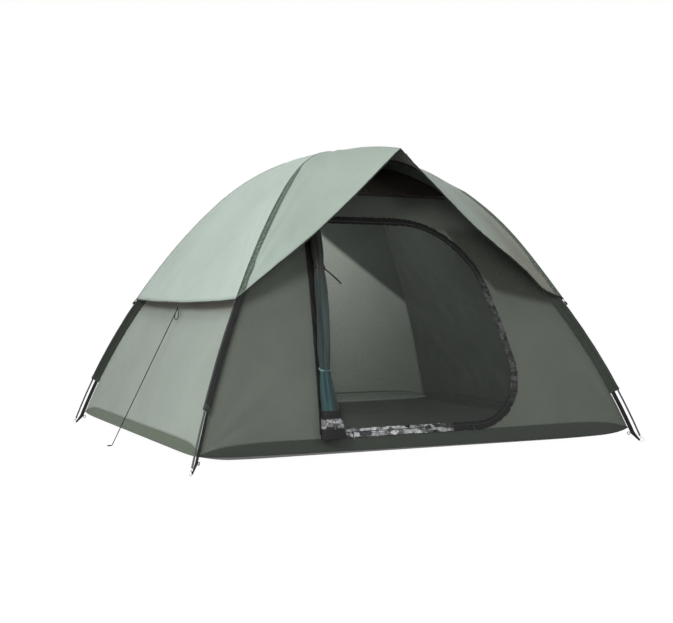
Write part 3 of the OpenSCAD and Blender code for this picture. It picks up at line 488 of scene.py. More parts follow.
# %% Points on the curve
def curve(slope, out=0.0, rise=0.0):
    """Distance from the middle, and height, of the curve moved out, where it has a slope."""
    leg, crown = arc_radii(rise)
    on_crown, on_leg = np.minimum(slope, crown_slope), np.maximum(slope, crown_slope)
    far = (crown + out) * np.sin(on_crown) + (leg + out) * (np.sin(on_leg) - np.sin(crown_slope))
    high = (peak_h + rise - crown + (crown + out) * np.cos(on_crown)
            + (leg + out) * (np.cos(on_leg) - np.cos(crown_slope)))
    return far, high


def slope_at(height, out=0.0, rise=0.0):
    """Slope of the moved curve at a height: each arc's own equation turned round."""
    leg, crown = arc_radii(rise)
    joint = curve(crown_slope, out, rise)[1]
    on_crown = np.arccos(np.clip(1 - (peak_h + rise + out - height) / (crown + out), -1, 1))
    on_leg = np.arccos(np.clip(np.cos(crown_slope) - (joint - height) / (leg + out), -1, 1))
    return np.where(height > joint, on_crown, on_leg)


print("the two arcs meet", round(float(curve(crown_slope)[1]), 3), "m up")

# %% Places beside a pole
def corner_frame(sx, sy):
    """Directions at one corner: away from the middle, and sideways."""
    away = np.array([sx * share_x, sy * share_y, 0.0])
    return away, np.array([-away[1], away[0], 0.0])


def rise_at(sx, sy):
    """The pole from front right to rear left passes over the other one."""
    return 0.0 if sx * sy > 0 else pole_rise


def by_pole(sx, sy, slope, out=0.0, sideways=0.0):
    """Points beside a pole: out along its normal, and sideways from its plane."""
    away, side = corner_frame(sx, sy)
    far, high = curve(slope, out, rise_at(sx, sy))
    return (np.asarray(far)[..., None] * away + np.asarray(sideways)[..., None] * side
            + np.asarray(high)[..., None] * up)


corners = {"front_left": (-1, -1), "front_right": (1, -1),
           "rear_left": (-1, 1), "rear_right": (1, 1)}
print("a pole's tip stands", by_pole(1, -1, tip_slope).round(3), "m from the middle")

# %% [markdown]
# ## Places on the walls
# A wall's cloth hangs a little inside the poles, so each of its points is found from how far it
# is across and how high. Functions of those two keep every piece on the same surface: the door,
# its zip, the roll and the walls themselves.

# %% Points on the walls
wall_out = -0.0349   # the cloth's distance from the poles' curve
wall_top = 1.110
walls = {"front": ([1, 0, 0], [0, -1, 0], share_y, share_x),
         "rear": ([-1, 0, 0], [0, 1, 0], share_y, share_x),
         "left": ([0, -1, 0], [-1, 0, 0], share_x, share_y),
         "right": ([0, 1, 0], [1, 0, 0], share_x, share_y)}


def on_wall(side, across, height, proud=0.0):
    """A wall is straight across and as far out as the cloth's curve at its height; proud lifts
    a point off it along its normal."""
    right, outwards, own, _ = walls[side]
    slope = slope_at(height, wall_out)
    n_out, n_up = np.sin(slope), own * np.cos(slope)
    size = np.hypot(n_out, n_up)
    far = own * curve(slope, wall_out)[0] + proud * n_out / size
    return (np.asarray(across)[..., None] * np.array(right, float)
            + far[..., None] * np.array(outwards, float)
            + (height + proud * n_up / size)[..., None] * up)


def half_width(side, height):
    """Half of a wall's width at a height, where it meets the diagonal."""
    return walls[side][3] * curve(slope_at(height, wall_out), wall_out)[0]


print("the front wall's top is", round(2 * float(half_width("front", wall_top)), 3), "m wide")

# %% Lower edges of the walls and the groundsheet
def fall(f):
    """Level along a side, and falling to nought at the corners."""
    return 1 - np.minimum(np.abs(f), 1) ** 12


def seam_line(f):
    """Height of the seam between wall and groundsheet; f runs from -1 to 1 along a side."""
    return 0.066 + 0.032 * fall(f)


def edge_line(f):
    """Height of the groundsheet's lower edge."""
    return 0.062 - 0.008 * fall(f)


print("the front wall is", round(2 * float(half_width("front", seam_line(1.0))), 3),
      "m wide at its seam")

# %% [markdown]
# ## Guyline
# One cord is tied to a loop at the middle of the left hem and runs taut to the ground, where it
# ends in a small loop for a peg. It is straight because it is pulled tight: a slack one would
# sag a seventh of its span. It comes first, since it settles how much room the tent takes.

# %% Guyline
guy_start, guy_end = np.array([-0.805, 0.0, 0.5995]), np.array([-1.103, 0.0, 0.002])
guy_thick, guy_loop_r, guy_loop_oval = 0.004, 0.009, 0.8
guy_path = guy_start + np.linspace(0, 1, 40)[:, None] * (guy_end - guy_start)
guy_section = circle(guy_thick / 2, 10)
guyline = piece("guyline", swept(guy_path, guy_section, [0, 1, 0]), black_cord, "fly",
                (False, True), replaces="guyline", weld=True)
a = whole_turn(48)
end_loop_path = (np.array([guy_end[0] - guy_loop_r - guy_thick / 2, 0, guy_thick / 2])
                 + guy_loop_r * np.stack([np.cos(a), np.sin(a) * guy_loop_oval, 0 * a], -1))
end_loop = piece("guyline_end_loop", swept(end_loop_path, guy_section, up, closed=True),
                 black_cord, "fly", (True, True), replaces="guyline_end_loop",
                 weld=True)

# %% [markdown]
# ## Groundsheet
# The groundsheet is a shallow tub: a coated sheet whose edge is turned up all round and sewn to
# the walls a hand's width above the ground. Rings of points run round the tent, from that seam
# down the band, over its lower edge and in under the floor, which sags to the ground.

# %% Rings of the tub
def tub_ring(plan, line, drop):
    """A ring round the tent at a scale of its plan; drop flattens its height towards 0. The
    lower edge hangs lowest at the right end of the front."""
    f = np.linspace(-1, 1, 61)[:-1]
    one, ring = np.ones_like(f), []
    slack = 0.020 * fall(f) * (1 + f) / 2 if line is edge_line else 0
    for x, y, z in ((f, -one, line(f) - slack), (one, f, line(f)), (-f, one, line(f)),
                    (-one, -f, line(f))):
        r = curve(slope_at(z, wall_out), wall_out)[0] * plan
        ring.append(np.stack([x * r * share_x, y * r * share_y, z * drop], -1))
    return np.concatenate(ring)


def band_ring(t):
    """One ring of the band, t from the seam (0) to the lower edge (1), bellied a little."""
    upper, lower = tub_ring(1, seam_line, 1), tub_ring(1, edge_line, 1)
    ring = upper + t * (lower - upper)
    belly = 0.0025 * np.sin(np.pi * t) + 0.0015 * crumple(ring[:, 0], ring[:, 1] + 3 * t, 0.35, 4)
    return ring + (belly * np.sin(np.pi * t) ** 0.5)[:, None] * unit(ring * [1, 1, 0])


band_high = (band_ring(0.0) - band_ring(1.0))[:, 2]
print("the tub's band is at most", round(1000 * float(band_high.max()), 1), "mm high")

# %% Groundsheet
floor_lift = 0.0008  # half of the sheet, and a little air under it
band_rows, floor_rows = 9, 12
floor_edge = 0.62    # plan scale at which the floor has come down to the ground
rings = [band_ring(t) for t in np.linspace(0, 1, band_rows)]
rings += [tub_ring(1 - (1 - floor_edge) * t, edge_line, (1 - t) ** 2) + floor_lift * up
          for t in np.linspace(0, 1, floor_rows + 1)[1:]]
inner = rings[-1]
for scale in (0.7, 0.4, 0.0):
    ripple = 0.004 * np.abs(crumple(inner[:, 0] * scale, inner[:, 1] * scale, 0.3, 7))
    rings.append(inner * [scale, scale, 1] + ripple[:, None] * up)
groundsheet = piece("groundsheet_tub", np.array(rings), tub_cloth, wrap=(False, True),
                    thick=0.0012, replaces="groundsheet",
                    lining=tub_lining)
# Painted light: the left and rear halves of the band are painted lighter outside, and as bright as
# the daylit rear wall on their inner face.
pale = np.zeros((len(rings), len(rings[0])))
pale[:band_rows, len(rings[0]) // 2:] = 1
paint(groundsheet, pale)
print("the groundsheet has", len(rings), "rings of", len(rings[0]), "points")

# %% [markdown]
# ## Walls
# Each wall is one cut of cloth, sewn to the sleeves along both slanted edges. Seen from above it
# is straight, and from the side it bends like the poles. Pulled cloth shows long shallow creases
# that fan out from the corners, so that is what the offset along the normal adds. Where a hem or
# brow keeps the light off, the cloth is painted darker with a soft edge.

# %% Creases of pulled cloth
def pull_lines(across, height, half):
    """Shallow creases fanning out from the two lower corners and the top ones of a wall: a sine
    of the angle seen from each corner, which fades with the distance from it."""
    total = 0
    for sx, level, reach, seed in ((-1, 0.07, 0.55, 3), (1, 0.07, 0.55, 8),
                                   (-1, wall_top, 0.3, 5), (1, wall_top, 0.3, 6)):
        dx, dz = across - sx * half, height - level
        far = np.hypot(dx, dz)
        turn = np.arctan2(dz, -sx * dx)
        total = total + np.sin(turn * 17 + seed) * np.exp(-far / reach) * np.minimum(far / 0.12, 1)
    return total


sample = pull_lines(np.linspace(-0.9, 0.9, 200), 0.3, 0.9)
print("the creases' sum reaches", round(float(sample.max()), 2), "at a height of 0.3 m")

# %% Side and rear walls
def plain_wall(side, seed, slack=0.0):
    """Grid over f, from -1 to 1 across, and height, from the seam line to the top. A slack wall
    has folds between its flat parts, where the absolute value of a soft height turns back."""
    f, t = np.meshgrid(np.linspace(-1, 1, 121), np.linspace(0, 1, 81), indexing="ij")
    z = seam_line(f) + t * (wall_top - seam_line(f))
    half = half_width(side, z)
    across = f * (half - 0.0004)
    fade = (1 - f ** 8) * np.minimum(t / 0.06, 1) * np.minimum((1 - t) / 0.08, 1)
    proud = fade * (0.0022 * pull_lines(across, z, half)
                    + 0.0035 * crumple(across, z, 0.9, seed) - 0.004 * (1 - f ** 2)
                    + 0.009 * slack * np.abs(crumple(across, z + across * 0.5, 0.40, seed + 1)))
    return on_wall(side, across, z, proud - 0.0008)


for side, finish, lining, slot, seed, flat, area in (
        ("left", side_cloth, wall_lining, "side_cloth", 11, (1.80, 1.25), 1.53),
        ("right", side_cloth, wall_lining, "side_cloth", 12, (1.80, 1.25), 1.53),
        ("rear", rear_cloth, rear_lining, "front_cloth", 13, (2.05, 1.33), 1.70)):
    wall = piece(f"{side}_wall_cloth", plain_wall(side, seed, side == "right"), finish,
                 thick=0.0009, replaces=f"{side}_wall", lining=lining)
    x, _, z = points_of(wall)
    # The rear wall's inner face is painted light below its brow line, where daylight comes through
    # the cloth; the side walls are painted shade just under the fly's hem.
    if side == "rear":
        paint(wall, np.clip((1.054 - 0.559 * np.abs(x) - z) / 0.020, 0, 1))   # lit from behind
    else:
        paint(wall, 0.8 * np.clip((z - 0.578) / 0.032, 0, 1))                 # under the hem
print("three walls hang from", wall_top, "m up")

# %% [markdown]
# ## The door's outline
# The door is a big D: a slanted sewn edge on the left, a flat top, a wide upper corner and a
# tighter lower one joined by a straight run, and a level sill. The same line, moved inwards,
# carries the zip's tapes, so it is worked out once, with its inward normal.

# %% Door outline
sill, door_top = 0.104, 0.990
sewn_low, sewn_high = -0.500, -0.385     # the sewn edge at the sill and at the top
fold_low, fold_high = -0.405, -0.335     # and the line on which the mesh door folds open
upper_corner, upper_r = np.array([0.078, 0.645]), 0.345
lower_corner, lower_r = np.array([0.212, 0.354]), 0.250
step = upper_corner - lower_corner
side_turn = np.arctan2(step[1], step[0]) - np.arccos((lower_r - upper_r) / np.hypot(*step))


def arc(centre, radius, start, end, count=40):
    """Points of an arc between two angles."""
    turn = np.linspace(start, end, count)
    return centre + radius * np.stack([np.cos(turn), np.sin(turn)], -1)


def door_curve(start, end):
    """The door's line from a point on the sill, up the right side, to a point on the top."""
    return np.concatenate([[start], arc(lower_corner, lower_r, -np.pi / 2, side_turn),
                           arc(upper_corner, upper_r, side_turn, np.pi / 2), [end]])


def sewn_at(z):
    """The door's sewn edge, which leans in towards the top."""
    return sewn_low + (sewn_high - sewn_low) * (z - sill) / (door_top - sill)


def fold_at(z):
    """Where the mesh door folds open: a slanted line to the right of the rolled door."""
    return fold_low + (fold_high - fold_low) * (z - sill) / (door_top - sill)


def zip_line(count):
    """The zip's run, from the fold along the sill, up the right side and back along the top:
    its points, and the directions that point into the door."""
    line = spaced(door_curve([fold_at(sill) - 0.020, sill], [fold_at(door_top) - 0.020, door_top]),
                  count)
    along = directions(line)
    return line, np.stack([-along[:, 1], along[:, 0]], -1)


door_edge = door_curve([sewn_low, sill], [sewn_high, door_top])
door_edge = spaced(np.concatenate([door_edge, door_edge[:1]]), 400)
print("the zip is", round(float(gone_along(zip_line(900)[0])[-1]), 2), "m long")

# %% [markdown]
# ## The front wall
# This wall is cut out round the door, so a plain grid won't do. Rings of points run from the
# door's outline to the wall's own, which keeps both edges exact with one grid.

# %% Front wall
def wall_outline():
    """The front wall's outline: its seam, its right edge, its top and its left edge."""
    f = np.linspace(-1, 1, 160)
    bottom = np.stack([f * half_width("front", seam_line(f)), seam_line(f)], -1)
    z = np.linspace(seam_line(1.0), wall_top, 110)
    right = np.stack([half_width("front", z) - 0.0004, z], -1)
    top = np.stack([np.linspace(right[-1, 0], -right[-1, 0], 60), np.full(60, wall_top)], -1)
    return np.concatenate([bottom[:-1], right[:-1], top[:-1], (right * [-1, 1])[::-1][:-1]])


def front_wall_grid(rounds=26):
    """Rings from the door's outline out to the wall's own outline: both are read off at the
    same angles round the door's middle, and points between them are mixed."""
    outline, middle = wall_outline(), np.array([-0.05, 0.50])
    turn = np.unwrap(np.arctan2(*(door_edge - middle).T[::-1]))
    wanted = np.unwrap(np.arctan2(*(outline - middle).T[::-1]))
    wanted = wanted + tau * np.round((turn.mean() - wanted.mean()) / tau)
    spot = turn[0] + np.mod(wanted - turn[0], tau)
    inner = np.stack([np.interp(spot, turn, door_edge[:, k]) for k in (0, 1)], -1)
    t = np.linspace(0, 1, rounds)[:, None, None] ** 1.3
    flat = inner + t * (outline - inner)
    across, high = flat[..., 0], flat[..., 1]
    away = np.minimum(np.linalg.norm(flat - inner, axis=-1) / 0.10, 1)
    rim = np.minimum(np.linalg.norm(flat - outline, axis=-1) / 0.06, 1)
    half = np.full_like(high, half_width("front", 0.07))
    proud = away * rim * (0.0022 * pull_lines(across, high, half)
                          + 0.0035 * crumple(across, high, 0.7, 21))
    return on_wall("front", across, high, proud - 0.0008)


front_wall = piece("front_wall_cloth", front_wall_grid(), front_cloth, wrap=(False, True),
                   thick=0.0009, replaces="front_wall")
# Painted shadow of the brow on the front wall right of the door, fainter higher up.
x, _, z = points_of(front_wall)
shade_edge = np.interp(x, [0.30, 0.38, 0.47, 0.62, 0.78], [0.95, 0.80, 0.675, 0.64, 0.612])
shaded = np.clip((z - shade_edge) / 0.030 + 0.5, 0, 1) * np.clip((x - 0.05) / 0.3, 0, 1)
paint(front_wall, shaded * np.clip((1.04 - z) / 0.12, 0.45, 0.85))
print("the front wall has", len(front_wall.data.polygons), "faces")

# %% [markdown]
# ## The mesh door
# A fine net fills the door. It is sewn along the left edge and zipped along the rest, and when
# the zip is open it folds back on a slanted line just right of the rolled cloth door. The net
# crosses that fold; it is one sheet that rides on neither the tent nor the swinging part.


def door_right(z, inset):
    """The door's right-hand outline at a height, moved inwards by inset."""
    line, inwards = zip_line(1200)
    line = line + inset * inwards
    side = (line[:, 0] > 0.05) & (np.gradient(line[:, 1]) > 0)
    return np.interp(z, line[side, 1], line[side, 0])


def door_net_grid(inset=0.020, rows=90):
    """Grid of the net: heights crowd towards sill and top, where the outline turns, and the
    columns are shared out left of the fold, over it and right of it."""
    t = (1 - np.cos(np.linspace(0, np.pi, rows))) / 2
    z = sill + inset + t * (door_top - sill - 2 * inset)
    stops = [sewn_at(z) + 0.003, fold_at(z) - 0.014, fold_at(z) + 0.014, door_right(z, inset)]
    across = [a[:, None] + (b - a)[:, None] * np.linspace(0, 1, n)[None, :-1]
              for a, b, n in zip(stops[:-1], stops[1:], (9, 9, 90))]
    x = np.concatenate(across + [stops[-1][:, None]], axis=1)
    z = np.broadcast_to(z[:, None], x.shape)
    edge = np.sin(np.pi * t)[:, None] * np.clip((x - fold_at(z)) / 0.05, 0, 1)
    sag = edge * (0.0016 * crumple(x, z, 0.22, 31) + 0.0012 * crumple(x + z, z * 0.3, 0.12, 32))
    return on_wall("front", x, z, sag - 0.0006)


door_net = piece("mesh_door_net", door_net_grid(), door_netting, body=None,
                 replaces=["mesh_door_panel", "mesh_sewn_strip"])
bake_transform(door_net)
print("the net has", len(door_net.data.polygons), "faces")

# %% [markdown]
# ## The door's zip
# The zip is two puckered tapes with a nylon coil between them. Along the sill and up the right
# side the tape is painted with creased pale patches, a painted highlight where light catches
# its crumpled coated side; a painted attribute says how strongly, and the finish also makes the
# patches glossier.

# %% Zip tape finish
def tape_with_painted_highlights():
    """Black coated tape with darker and lighter streaks. Facets between the edges of a Voronoi
    pattern, on the streaks' light parts, are painted near white as highlights and made glossier
    where the tape's attribute is painted."""
    material, tree, shader = start_finish("zip_tape_cloth", Specular_IOR_Level=0.3)
    place = node(tree, "TexCoord").outputs
    light_shade_and_tint = node(tree, "Attribute", attribute_name="light_shade_and_tint").outputs[2]
    creased = node(tree, "Mapping", {"Vector": place["Object"], "Scale": (1.0, 1.0, 1.8)})
    cells = {"Vector": creased.outputs[0], "Scale": 30.0}
    cell = node(tree, "TexVoronoi", cells).outputs[1]
    edge = node(tree, "TexVoronoi", cells, feature="DISTANCE_TO_EDGE").outputs[0]
    streak = noise(tree, place["Object"], 55.0, 6.0, 0.7)
    facet = maths(tree, "MULTIPLY", ramp(tree, cell, 0.15, 0.75), ramp(tree, edge, 0.0, 0.05))
    lit = maths(tree, "MULTIPLY", facet, ramp(tree, streak, 0.30, 0.55))
    glow = maths(tree, "MULTIPLY", lit, light_shade_and_tint)
    dark = mixed(tree, streak, linear("070807"), linear("171816"))
    tree.links.new(mixed(tree, glow, dark, linear("d6d7d9")), shader.inputs["Base Color"])
    gloss = maths(tree, "MULTIPLY_ADD", glow, -0.35, 0.75)
    tree.links.new(gloss, shader.inputs["Roughness"])
    weave = threads(tree, place["UV"], 0.0012)
    tree.links.new(bump(tree, weave, 0.0002, 0.5, bump(tree, streak, 0.002, 0.6)),
                   shader.inputs["Normal"])
    return material


zip_cloth = tape_with_painted_highlights()
print(zip_cloth.name, "has", len(zip_cloth.node_tree.nodes), "nodes")

# %% Zip tapes
outer_span, inner_span = (-0.0080, 0.0116), (0.0136, 0.0250)   # insets of the tapes' edges
outer_coil, inner_coil = 0.0119, 0.0134                        # and of the coil's two halves
coil_middle = 0.0125
tape_cols, zip_rows = 9, 900


def bell(value, low, high, soft):
    """1 between low and high, falling to 0 over a soft distance outside them."""
    return np.clip((value - low) / soft + 1, 0, 1) * np.clip((high - value) / soft + 1, 0, 1)


def tape_grid(near, far, seed, lift=0.0008, ruffle=0.0022):
    """A tape between two insets of the door's line. The half away from the coil is puckered:
    short waves along it whose height fades towards the coil."""
    line, inwards = zip_line(zip_rows)
    gone = gone_along(line)[:, None]
    v = np.linspace(0, 1, tape_cols)[None, :]
    wave = (crumple(gone * (1 + 0 * v), v * 0.02, 0.035, seed)
            + 0.6 * crumple(gone + v * 0.01, v * 0, 0.014, seed + 1))
    loose = (1 - v) if far < coil_middle else v
    wander = 0.0016 * crumple(gone, 0 * gone, 0.06, seed + 2) * loose
    flat = line[:, None] + (near + (far - near) * v + wander)[..., None] * inwards[:, None]
    return on_wall("front", flat[..., 0], flat[..., 1],
                   lift + ruffle * loose ** 1.5 * (wave + 0.6))


# Painted highlight: pale patches along the sill, and faint ones up the right side.
x, z = zip_line(zip_rows)[0].T
on_sill = bell(x, -0.40, 0.05, 0.05) * bell(z, 0.0, 0.11, 0.01)
on_side = 0.16 * bell(z, 0.25, 0.69, 0.06) * (x > 0.2)
light_shade_and_tint = np.repeat(np.maximum(on_sill, on_side)[:, None], tape_cols, axis=1)
outer_tape = piece("door_zip_outer_tape", tape_grid(*outer_span, 41), zip_cloth, thick=0.0007,
                   replaces="door_zip_wall_tape")
inner_tape = piece("door_zip_inner_tape", tape_grid(*inner_span, 47), zip_cloth, None,
                   thick=0.0007, replaces="door_zip_mesh_tape")
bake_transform(inner_tape)
for tape in (outer_tape, inner_tape):
    paint(tape, light_shade_and_tint)
print("the tapes are", round(1000 * (outer_span[1] - outer_span[0]), 1), "and",
      round(1000 * (inner_span[1] - inner_span[0]), 1), "mm wide")

# %% Zip coils
tooth_r, gap_r = 0.0011, 0.0007    # radius of the coil on a tooth and between two
coil_proud = 0.0012


def coil_grid(inset, teeth=1250):
    """A nylon coil: a thin tube whose radius rises and falls once for each tooth."""
    line, inwards = zip_line(teeth * 2)
    line = line + inset * inwards
    path = on_wall("front", line[:, 0], line[:, 1], coil_proud)
    radius = np.where(np.arange(len(path)) % 2, gap_r, tooth_r)
    return swept(path, circle(radius, 6), [0, -1, 0.4])


piece("door_zip_outer_coil", coil_grid(outer_coil), black_plastic, wrap=(False, True),
      weld=True)
coil = piece("door_zip_inner_coil", coil_grid(inner_coil), black_plastic, None, (False, True),
             weld=True)
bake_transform(coil)
print("the coil has", len(coil.data.polygons), "faces on each side")

# %% [markdown]
# ## The rolled cloth door
# The outer door of cloth is rolled up along its sewn edge and held by two ribbon ties. A loose
# roll isn't a cylinder: it is pinched at the ties, folds run along it and slant into the
# pinches, and its lower end opens into a flat trumpet with the zip's tape across it.

# %% Finish of the rolled cloth
def rolled_finish():
    """Cloth of a rolled door: streaks run down it, teal-green where it was folded face in and
    brown-grey elsewhere. The same streaks make its bumped folds and are darker in their hollows,
    which is painted shade."""
    material, tree, shader = start_finish("rolled_door_cloth", Roughness=0.8, Sheen_Weight=0.1,
                                          Specular_IOR_Level=0.3)
    place = node(tree, "TexCoord").outputs
    stretched = node(tree, "Mapping", {"Vector": place["UV"], "Scale": (70.0, 3.0, 1.0)})
    streak = noise(tree, stretched.outputs[0], 1.0, 3.0)
    teal = node(tree, "Attribute", attribute_name="light_shade_and_tint").outputs[2]
    plain = mixed(tree, ramp(tree, streak, 0.35, 0.65), linear("1f211f"), linear("424440"))
    green = mixed(tree, ramp(tree, streak, 0.35, 0.65), linear("1f2d2c"), linear("38565a"))
    tree.links.new(mixed(tree, teal, plain, green), shader.inputs["Base Color"])
    weave = bump(tree, threads(tree, place["UV"], 0.0011), 0.00012, 0.5)
    tree.links.new(bump(tree, streak, 0.003, 0.7, weave), shader.inputs["Normal"])
    return material


roll_cloth = rolled_finish()
print(roll_cloth.name, "has", len(roll_cloth.node_tree.nodes), "nodes")

# %% Shape of the roll
roll_low, roll_top = 0.100, 0.978
upper_tie, lower_tie = 0.774, 0.364
roll_r, tie_r, flare_r = 0.028, 0.022, 0.042    # radii of the roll, at a tie and at its mouth
pinch_long, flare_long = 0.045, 0.230           # how far a pinch and the flare reach along it
roll_sides, roll_rows = 72, 220


def roll_shape(z):
    """Half width, half depth, and centre of the roll at a height. The radius dips like a bell
    curve at each tie, and the lower end flares; the roll leans left between its ends, and most
    at the lower tie."""
    pinch = (roll_r - tie_r) * (np.exp(-((z - upper_tie) / pinch_long) ** 2)
                                + np.exp(-((z - lower_tie) / pinch_long) ** 2))
    flare = np.maximum(0, 1 - (z - roll_low) / flare_long) ** 1.3
    wide = 0.93 * roll_r - pinch + (flare_r + 0.013 - roll_r) * flare
    deep = roll_r - pinch - (flare_r - roll_r) / 3 * flare
    t = (z - roll_low) / (roll_top - roll_low)
    x = (sewn_at(z) + roll_r * (0.90 - 0.40 * np.sin(np.pi * t)) + 0.5 * (flare_r - roll_r) * flare
         - 0.5 * roll_r * np.exp(-((z - lower_tie) / 0.16) ** 2))
    wall_y = on_wall("front", x, z)[..., 1]
    return wide, deep, np.stack([x, wall_y - roll_r - 0.0004, z], -1)


roll_wide = 2000 * float(roll_shape(np.array(0.55))[0])
print("between its ties the roll is", round(roll_wide), "mm wide")

# %% Folds and ends of the roll
def roll_grid(rows=roll_rows, grow=1.0, low=roll_low, top=roll_top, deep_folds=1.0):
    """The roll's skin: an ellipse at each height, cut by folds that wind slowly round it and
    deepen towards the pinches."""
    z = np.linspace(low, top, rows)[:, None]
    turn = whole_turn(roll_sides)[None, :]
    wide, deep, centre = roll_shape(z[:, 0])
    near_tie = np.exp(-np.abs(z - upper_tie) / 0.10) + np.exp(-np.abs(z - lower_tie) / 0.10)
    fold = 0
    for start, wind, depth in ((-2.2, 2.4, 0.085), (-1.2, -1.7, 0.07), (-0.4, 3.1, 0.06),
                               (0.9, 1.2, 0.05), (2.3, -2.0, 0.06)):
        off = np.angle(np.exp(1j * (turn - start - wind * (z - 0.5))))
        fold = fold + depth * (np.exp(-(off / 0.13) ** 2)
                               - 0.5 * np.exp(-((off - 0.3) / 0.2) ** 2))
    pleat = 0.03 * np.sin(9 * turn + 14 * z) * near_tie
    soft = 0.02 * crumple(turn * 0.05, z, 0.12, 51)
    size = grow * (1 - deep_folds * fold * (0.7 + 0.5 * near_tie) + pleat + soft - 0.03)
    x = centre[:, 0, None] + wide[:, None] * size * np.cos(turn)
    y = centre[:, 1, None] + deep[:, None] * size * np.sin(turn)
    return np.stack([x, y, np.broadcast_to(z, x.shape)], -1)


def closed_ends(rings, dish=0.005):
    """Closes a tube's two ends: each end's ring shrinks to its own middle, dished inwards."""
    out = []
    for k in (0, -1):
        middle = rings[k].mean(axis=0)
        inwards = (rings[k] - rings[(1, -2)[k]]).mean(axis=0)
        out.append([middle + (rings[k] - middle) * s - unit(inwards) * dish * (1 - s)
                    for s in (0.0, 0.3, 0.6, 0.85)])
    return np.concatenate([out[0], rings, out[1][::-1]])


print("the roll's skin has", roll_rows, "rings of", roll_sides, "points")

# %% The roll and its tapes
rolled_door = piece("rolled_door_cloth", closed_ends(roll_grid()), roll_cloth,
                    wrap=(False, True), replaces="rolled_door", weld=True)
x, _, z = points_of(rolled_door)
left_side = np.clip((sewn_at(z) + 0.040 - x) / 0.02, 0, 1)
paint(rolled_door, left_side * np.interp(z, [0.350, 0.370, 0.70, 0.76], [1.0, 0.45, 0.35, 0.0]))

end_rows, end_top = 28, 0.206
roll_end = piece("rolled_door_end_tape",
                 roll_grid(end_rows, 1.06, roll_low - 0.001, end_top, deep_folds=0.6),
                 zip_cloth, wrap=(False, True), thick=0.0006)
# A band of painted highlight round the end tape.
painted_highlight_band = bell(np.linspace(0, 1, end_rows), 0.42, 0.68, 0.06)
paint(roll_end, np.repeat(painted_highlight_band[:, None], roll_sides, axis=1))

t = np.linspace(0, 1, 160)[:, None]
z = 0.112 + 0.864 * t + np.zeros(9)
x = sewn_at(z) - 0.012 * np.sin(np.pi * t) + np.linspace(-0.016, 0.030, 9)
sewn_tape = on_wall("front", x, z, 0.003 + 0.002 * crumple(z, x, 0.05, 55))
sewn_tape = piece("door_sewn_edge_tape", sewn_tape, zip_cloth, thick=0.0007)
paint(sewn_tape, np.zeros(x.shape))
print("the roll is", round(roll_top - roll_low, 3), "m long")

# %% [markdown]
# ## The roll's ties
# A short band is tied round the roll in two places, and a loose end hangs from each knot. A band
# is a ring square to the wall, widened along the roll, and a tail is a flat ribbon that droops.

# %% Door ties
ring_points = 64
band_r, knot_r = 0.0235, 0.025    # where the band lies, and where a loose end starts


def tie_ring(z, radius):
    """A circle round the roll at a height, in the plane of the wall's normal, and that normal."""
    _, _, centre = roll_shape(np.array(z))
    turn = whole_turn(ring_points)
    slope = slope_at(np.array(z), wall_out)
    lean = np.arctan2(share_y * np.cos(slope), np.sin(slope))
    out = np.array([0, -np.cos(lean), -np.sin(lean)])
    ring = np.cos(turn)[:, None] * [1, 0, 0] + np.sin(turn)[:, None] * out
    return centre + radius * ring, out


def tail(start, way, length, width, drop, finish, name):
    """A ribbon's free end: it leaves along way and droops."""
    t = np.linspace(0, 1, 24)[:, None]
    path = start + way * length * t + np.array([0, 0, -1.0]) * drop * t ** 2
    return piece(name, swept(path, flat_profile(width, 0.0009), [0.3, -1, 0.2]), finish,
                 wrap=(False, True), weld=True)


for name, z, finish, width in (("upper", upper_tie, tie_ribbon, 0.008),
                               ("lower", lower_tie, teal_ribbon, 0.007)):
    ring, out = tie_ring(z, band_r)
    axis = unit(np.cross(out, [1, 0, 0]))
    band = np.stack([ring + k * axis for k in np.linspace(-0.5, 0.5, 5) * width], 0)
    piece(f"{name}_door_tie_ribbon", band, finish, wrap=(False, True), thick=0.0009,
          replaces=f"{name}_door_tie")
for name, z, start, way, length, width, drop in (
        ("upper", upper_tie, 8, (0.74, -0.25, -0.60), 0.090, 0.009, 0.008),
        ("lower", lower_tie, 10, (-0.30, -0.35, -0.89), 0.060, 0.006, 0.002)):
    ring, _ = tie_ring(z, knot_r)
    tail(ring[start], np.array(way), length, width, drop, tie_ribbon, f"{name}_tie_tail")
print("the roll is tied at", upper_tie, "and", lower_tie, "m")

# %% [markdown]
# ## Roof netting and the seam over the walls
# Under the fly the roof is netting, which is one dome of four curved quarters. Rings run round
# it from the seam at the walls' top to the middle.

# %% Roof netting
def roof_ring(slope, out=wall_out):
    """A rectangle round the tent at a slope of the curve: its half sizes are the curve's reach
    times the two shares of the diagonal."""
    f = np.linspace(-1, 1, 49)[:-1]
    r, z = curve(slope, out)
    one = np.ones_like(f)
    return np.concatenate([np.stack([x * r * share_x, y * r * share_y, z * one], -1)
                           for x, y in ((f, -one), (one, f), (-f, one), (-one, -f))])


roof_slopes = np.linspace(0, float(slope_at(wall_top, wall_out)), 26)
roof = piece("roof_net", np.array([roof_ring(s) for s in roof_slopes]), roof_netting,
             wrap=(False, True), replaces="roof_mesh", weld=True)
print("the roof net has", len(roof.data.polygons), "faces")

# %% Seam tape round the roof
seam_half, seam_proud = 0.008, 0.0009
seam_slopes = slope_at(np.linspace(wall_top - seam_half, wall_top + seam_half, 5), wall_out)
seam_rings = [roof_ring(s, wall_out + seam_proud) for s in seam_slopes]
piece("wall_top_seam_tape", np.array(seam_rings), brown_tape, wrap=(False, True), thick=0.0008)
print("the seam tape is", 2000 * seam_half, "mm wide")

# %% [markdown]
# ## Pole sleeves
# A sleeve is a tube of cloth round the pole with a flat web that is sewn to the wall. Its
# section is a teardrop, carried along the pole's curve. Gathered cloth never lies quite smooth,
# so the tube swells and the web ripples a little on the way.

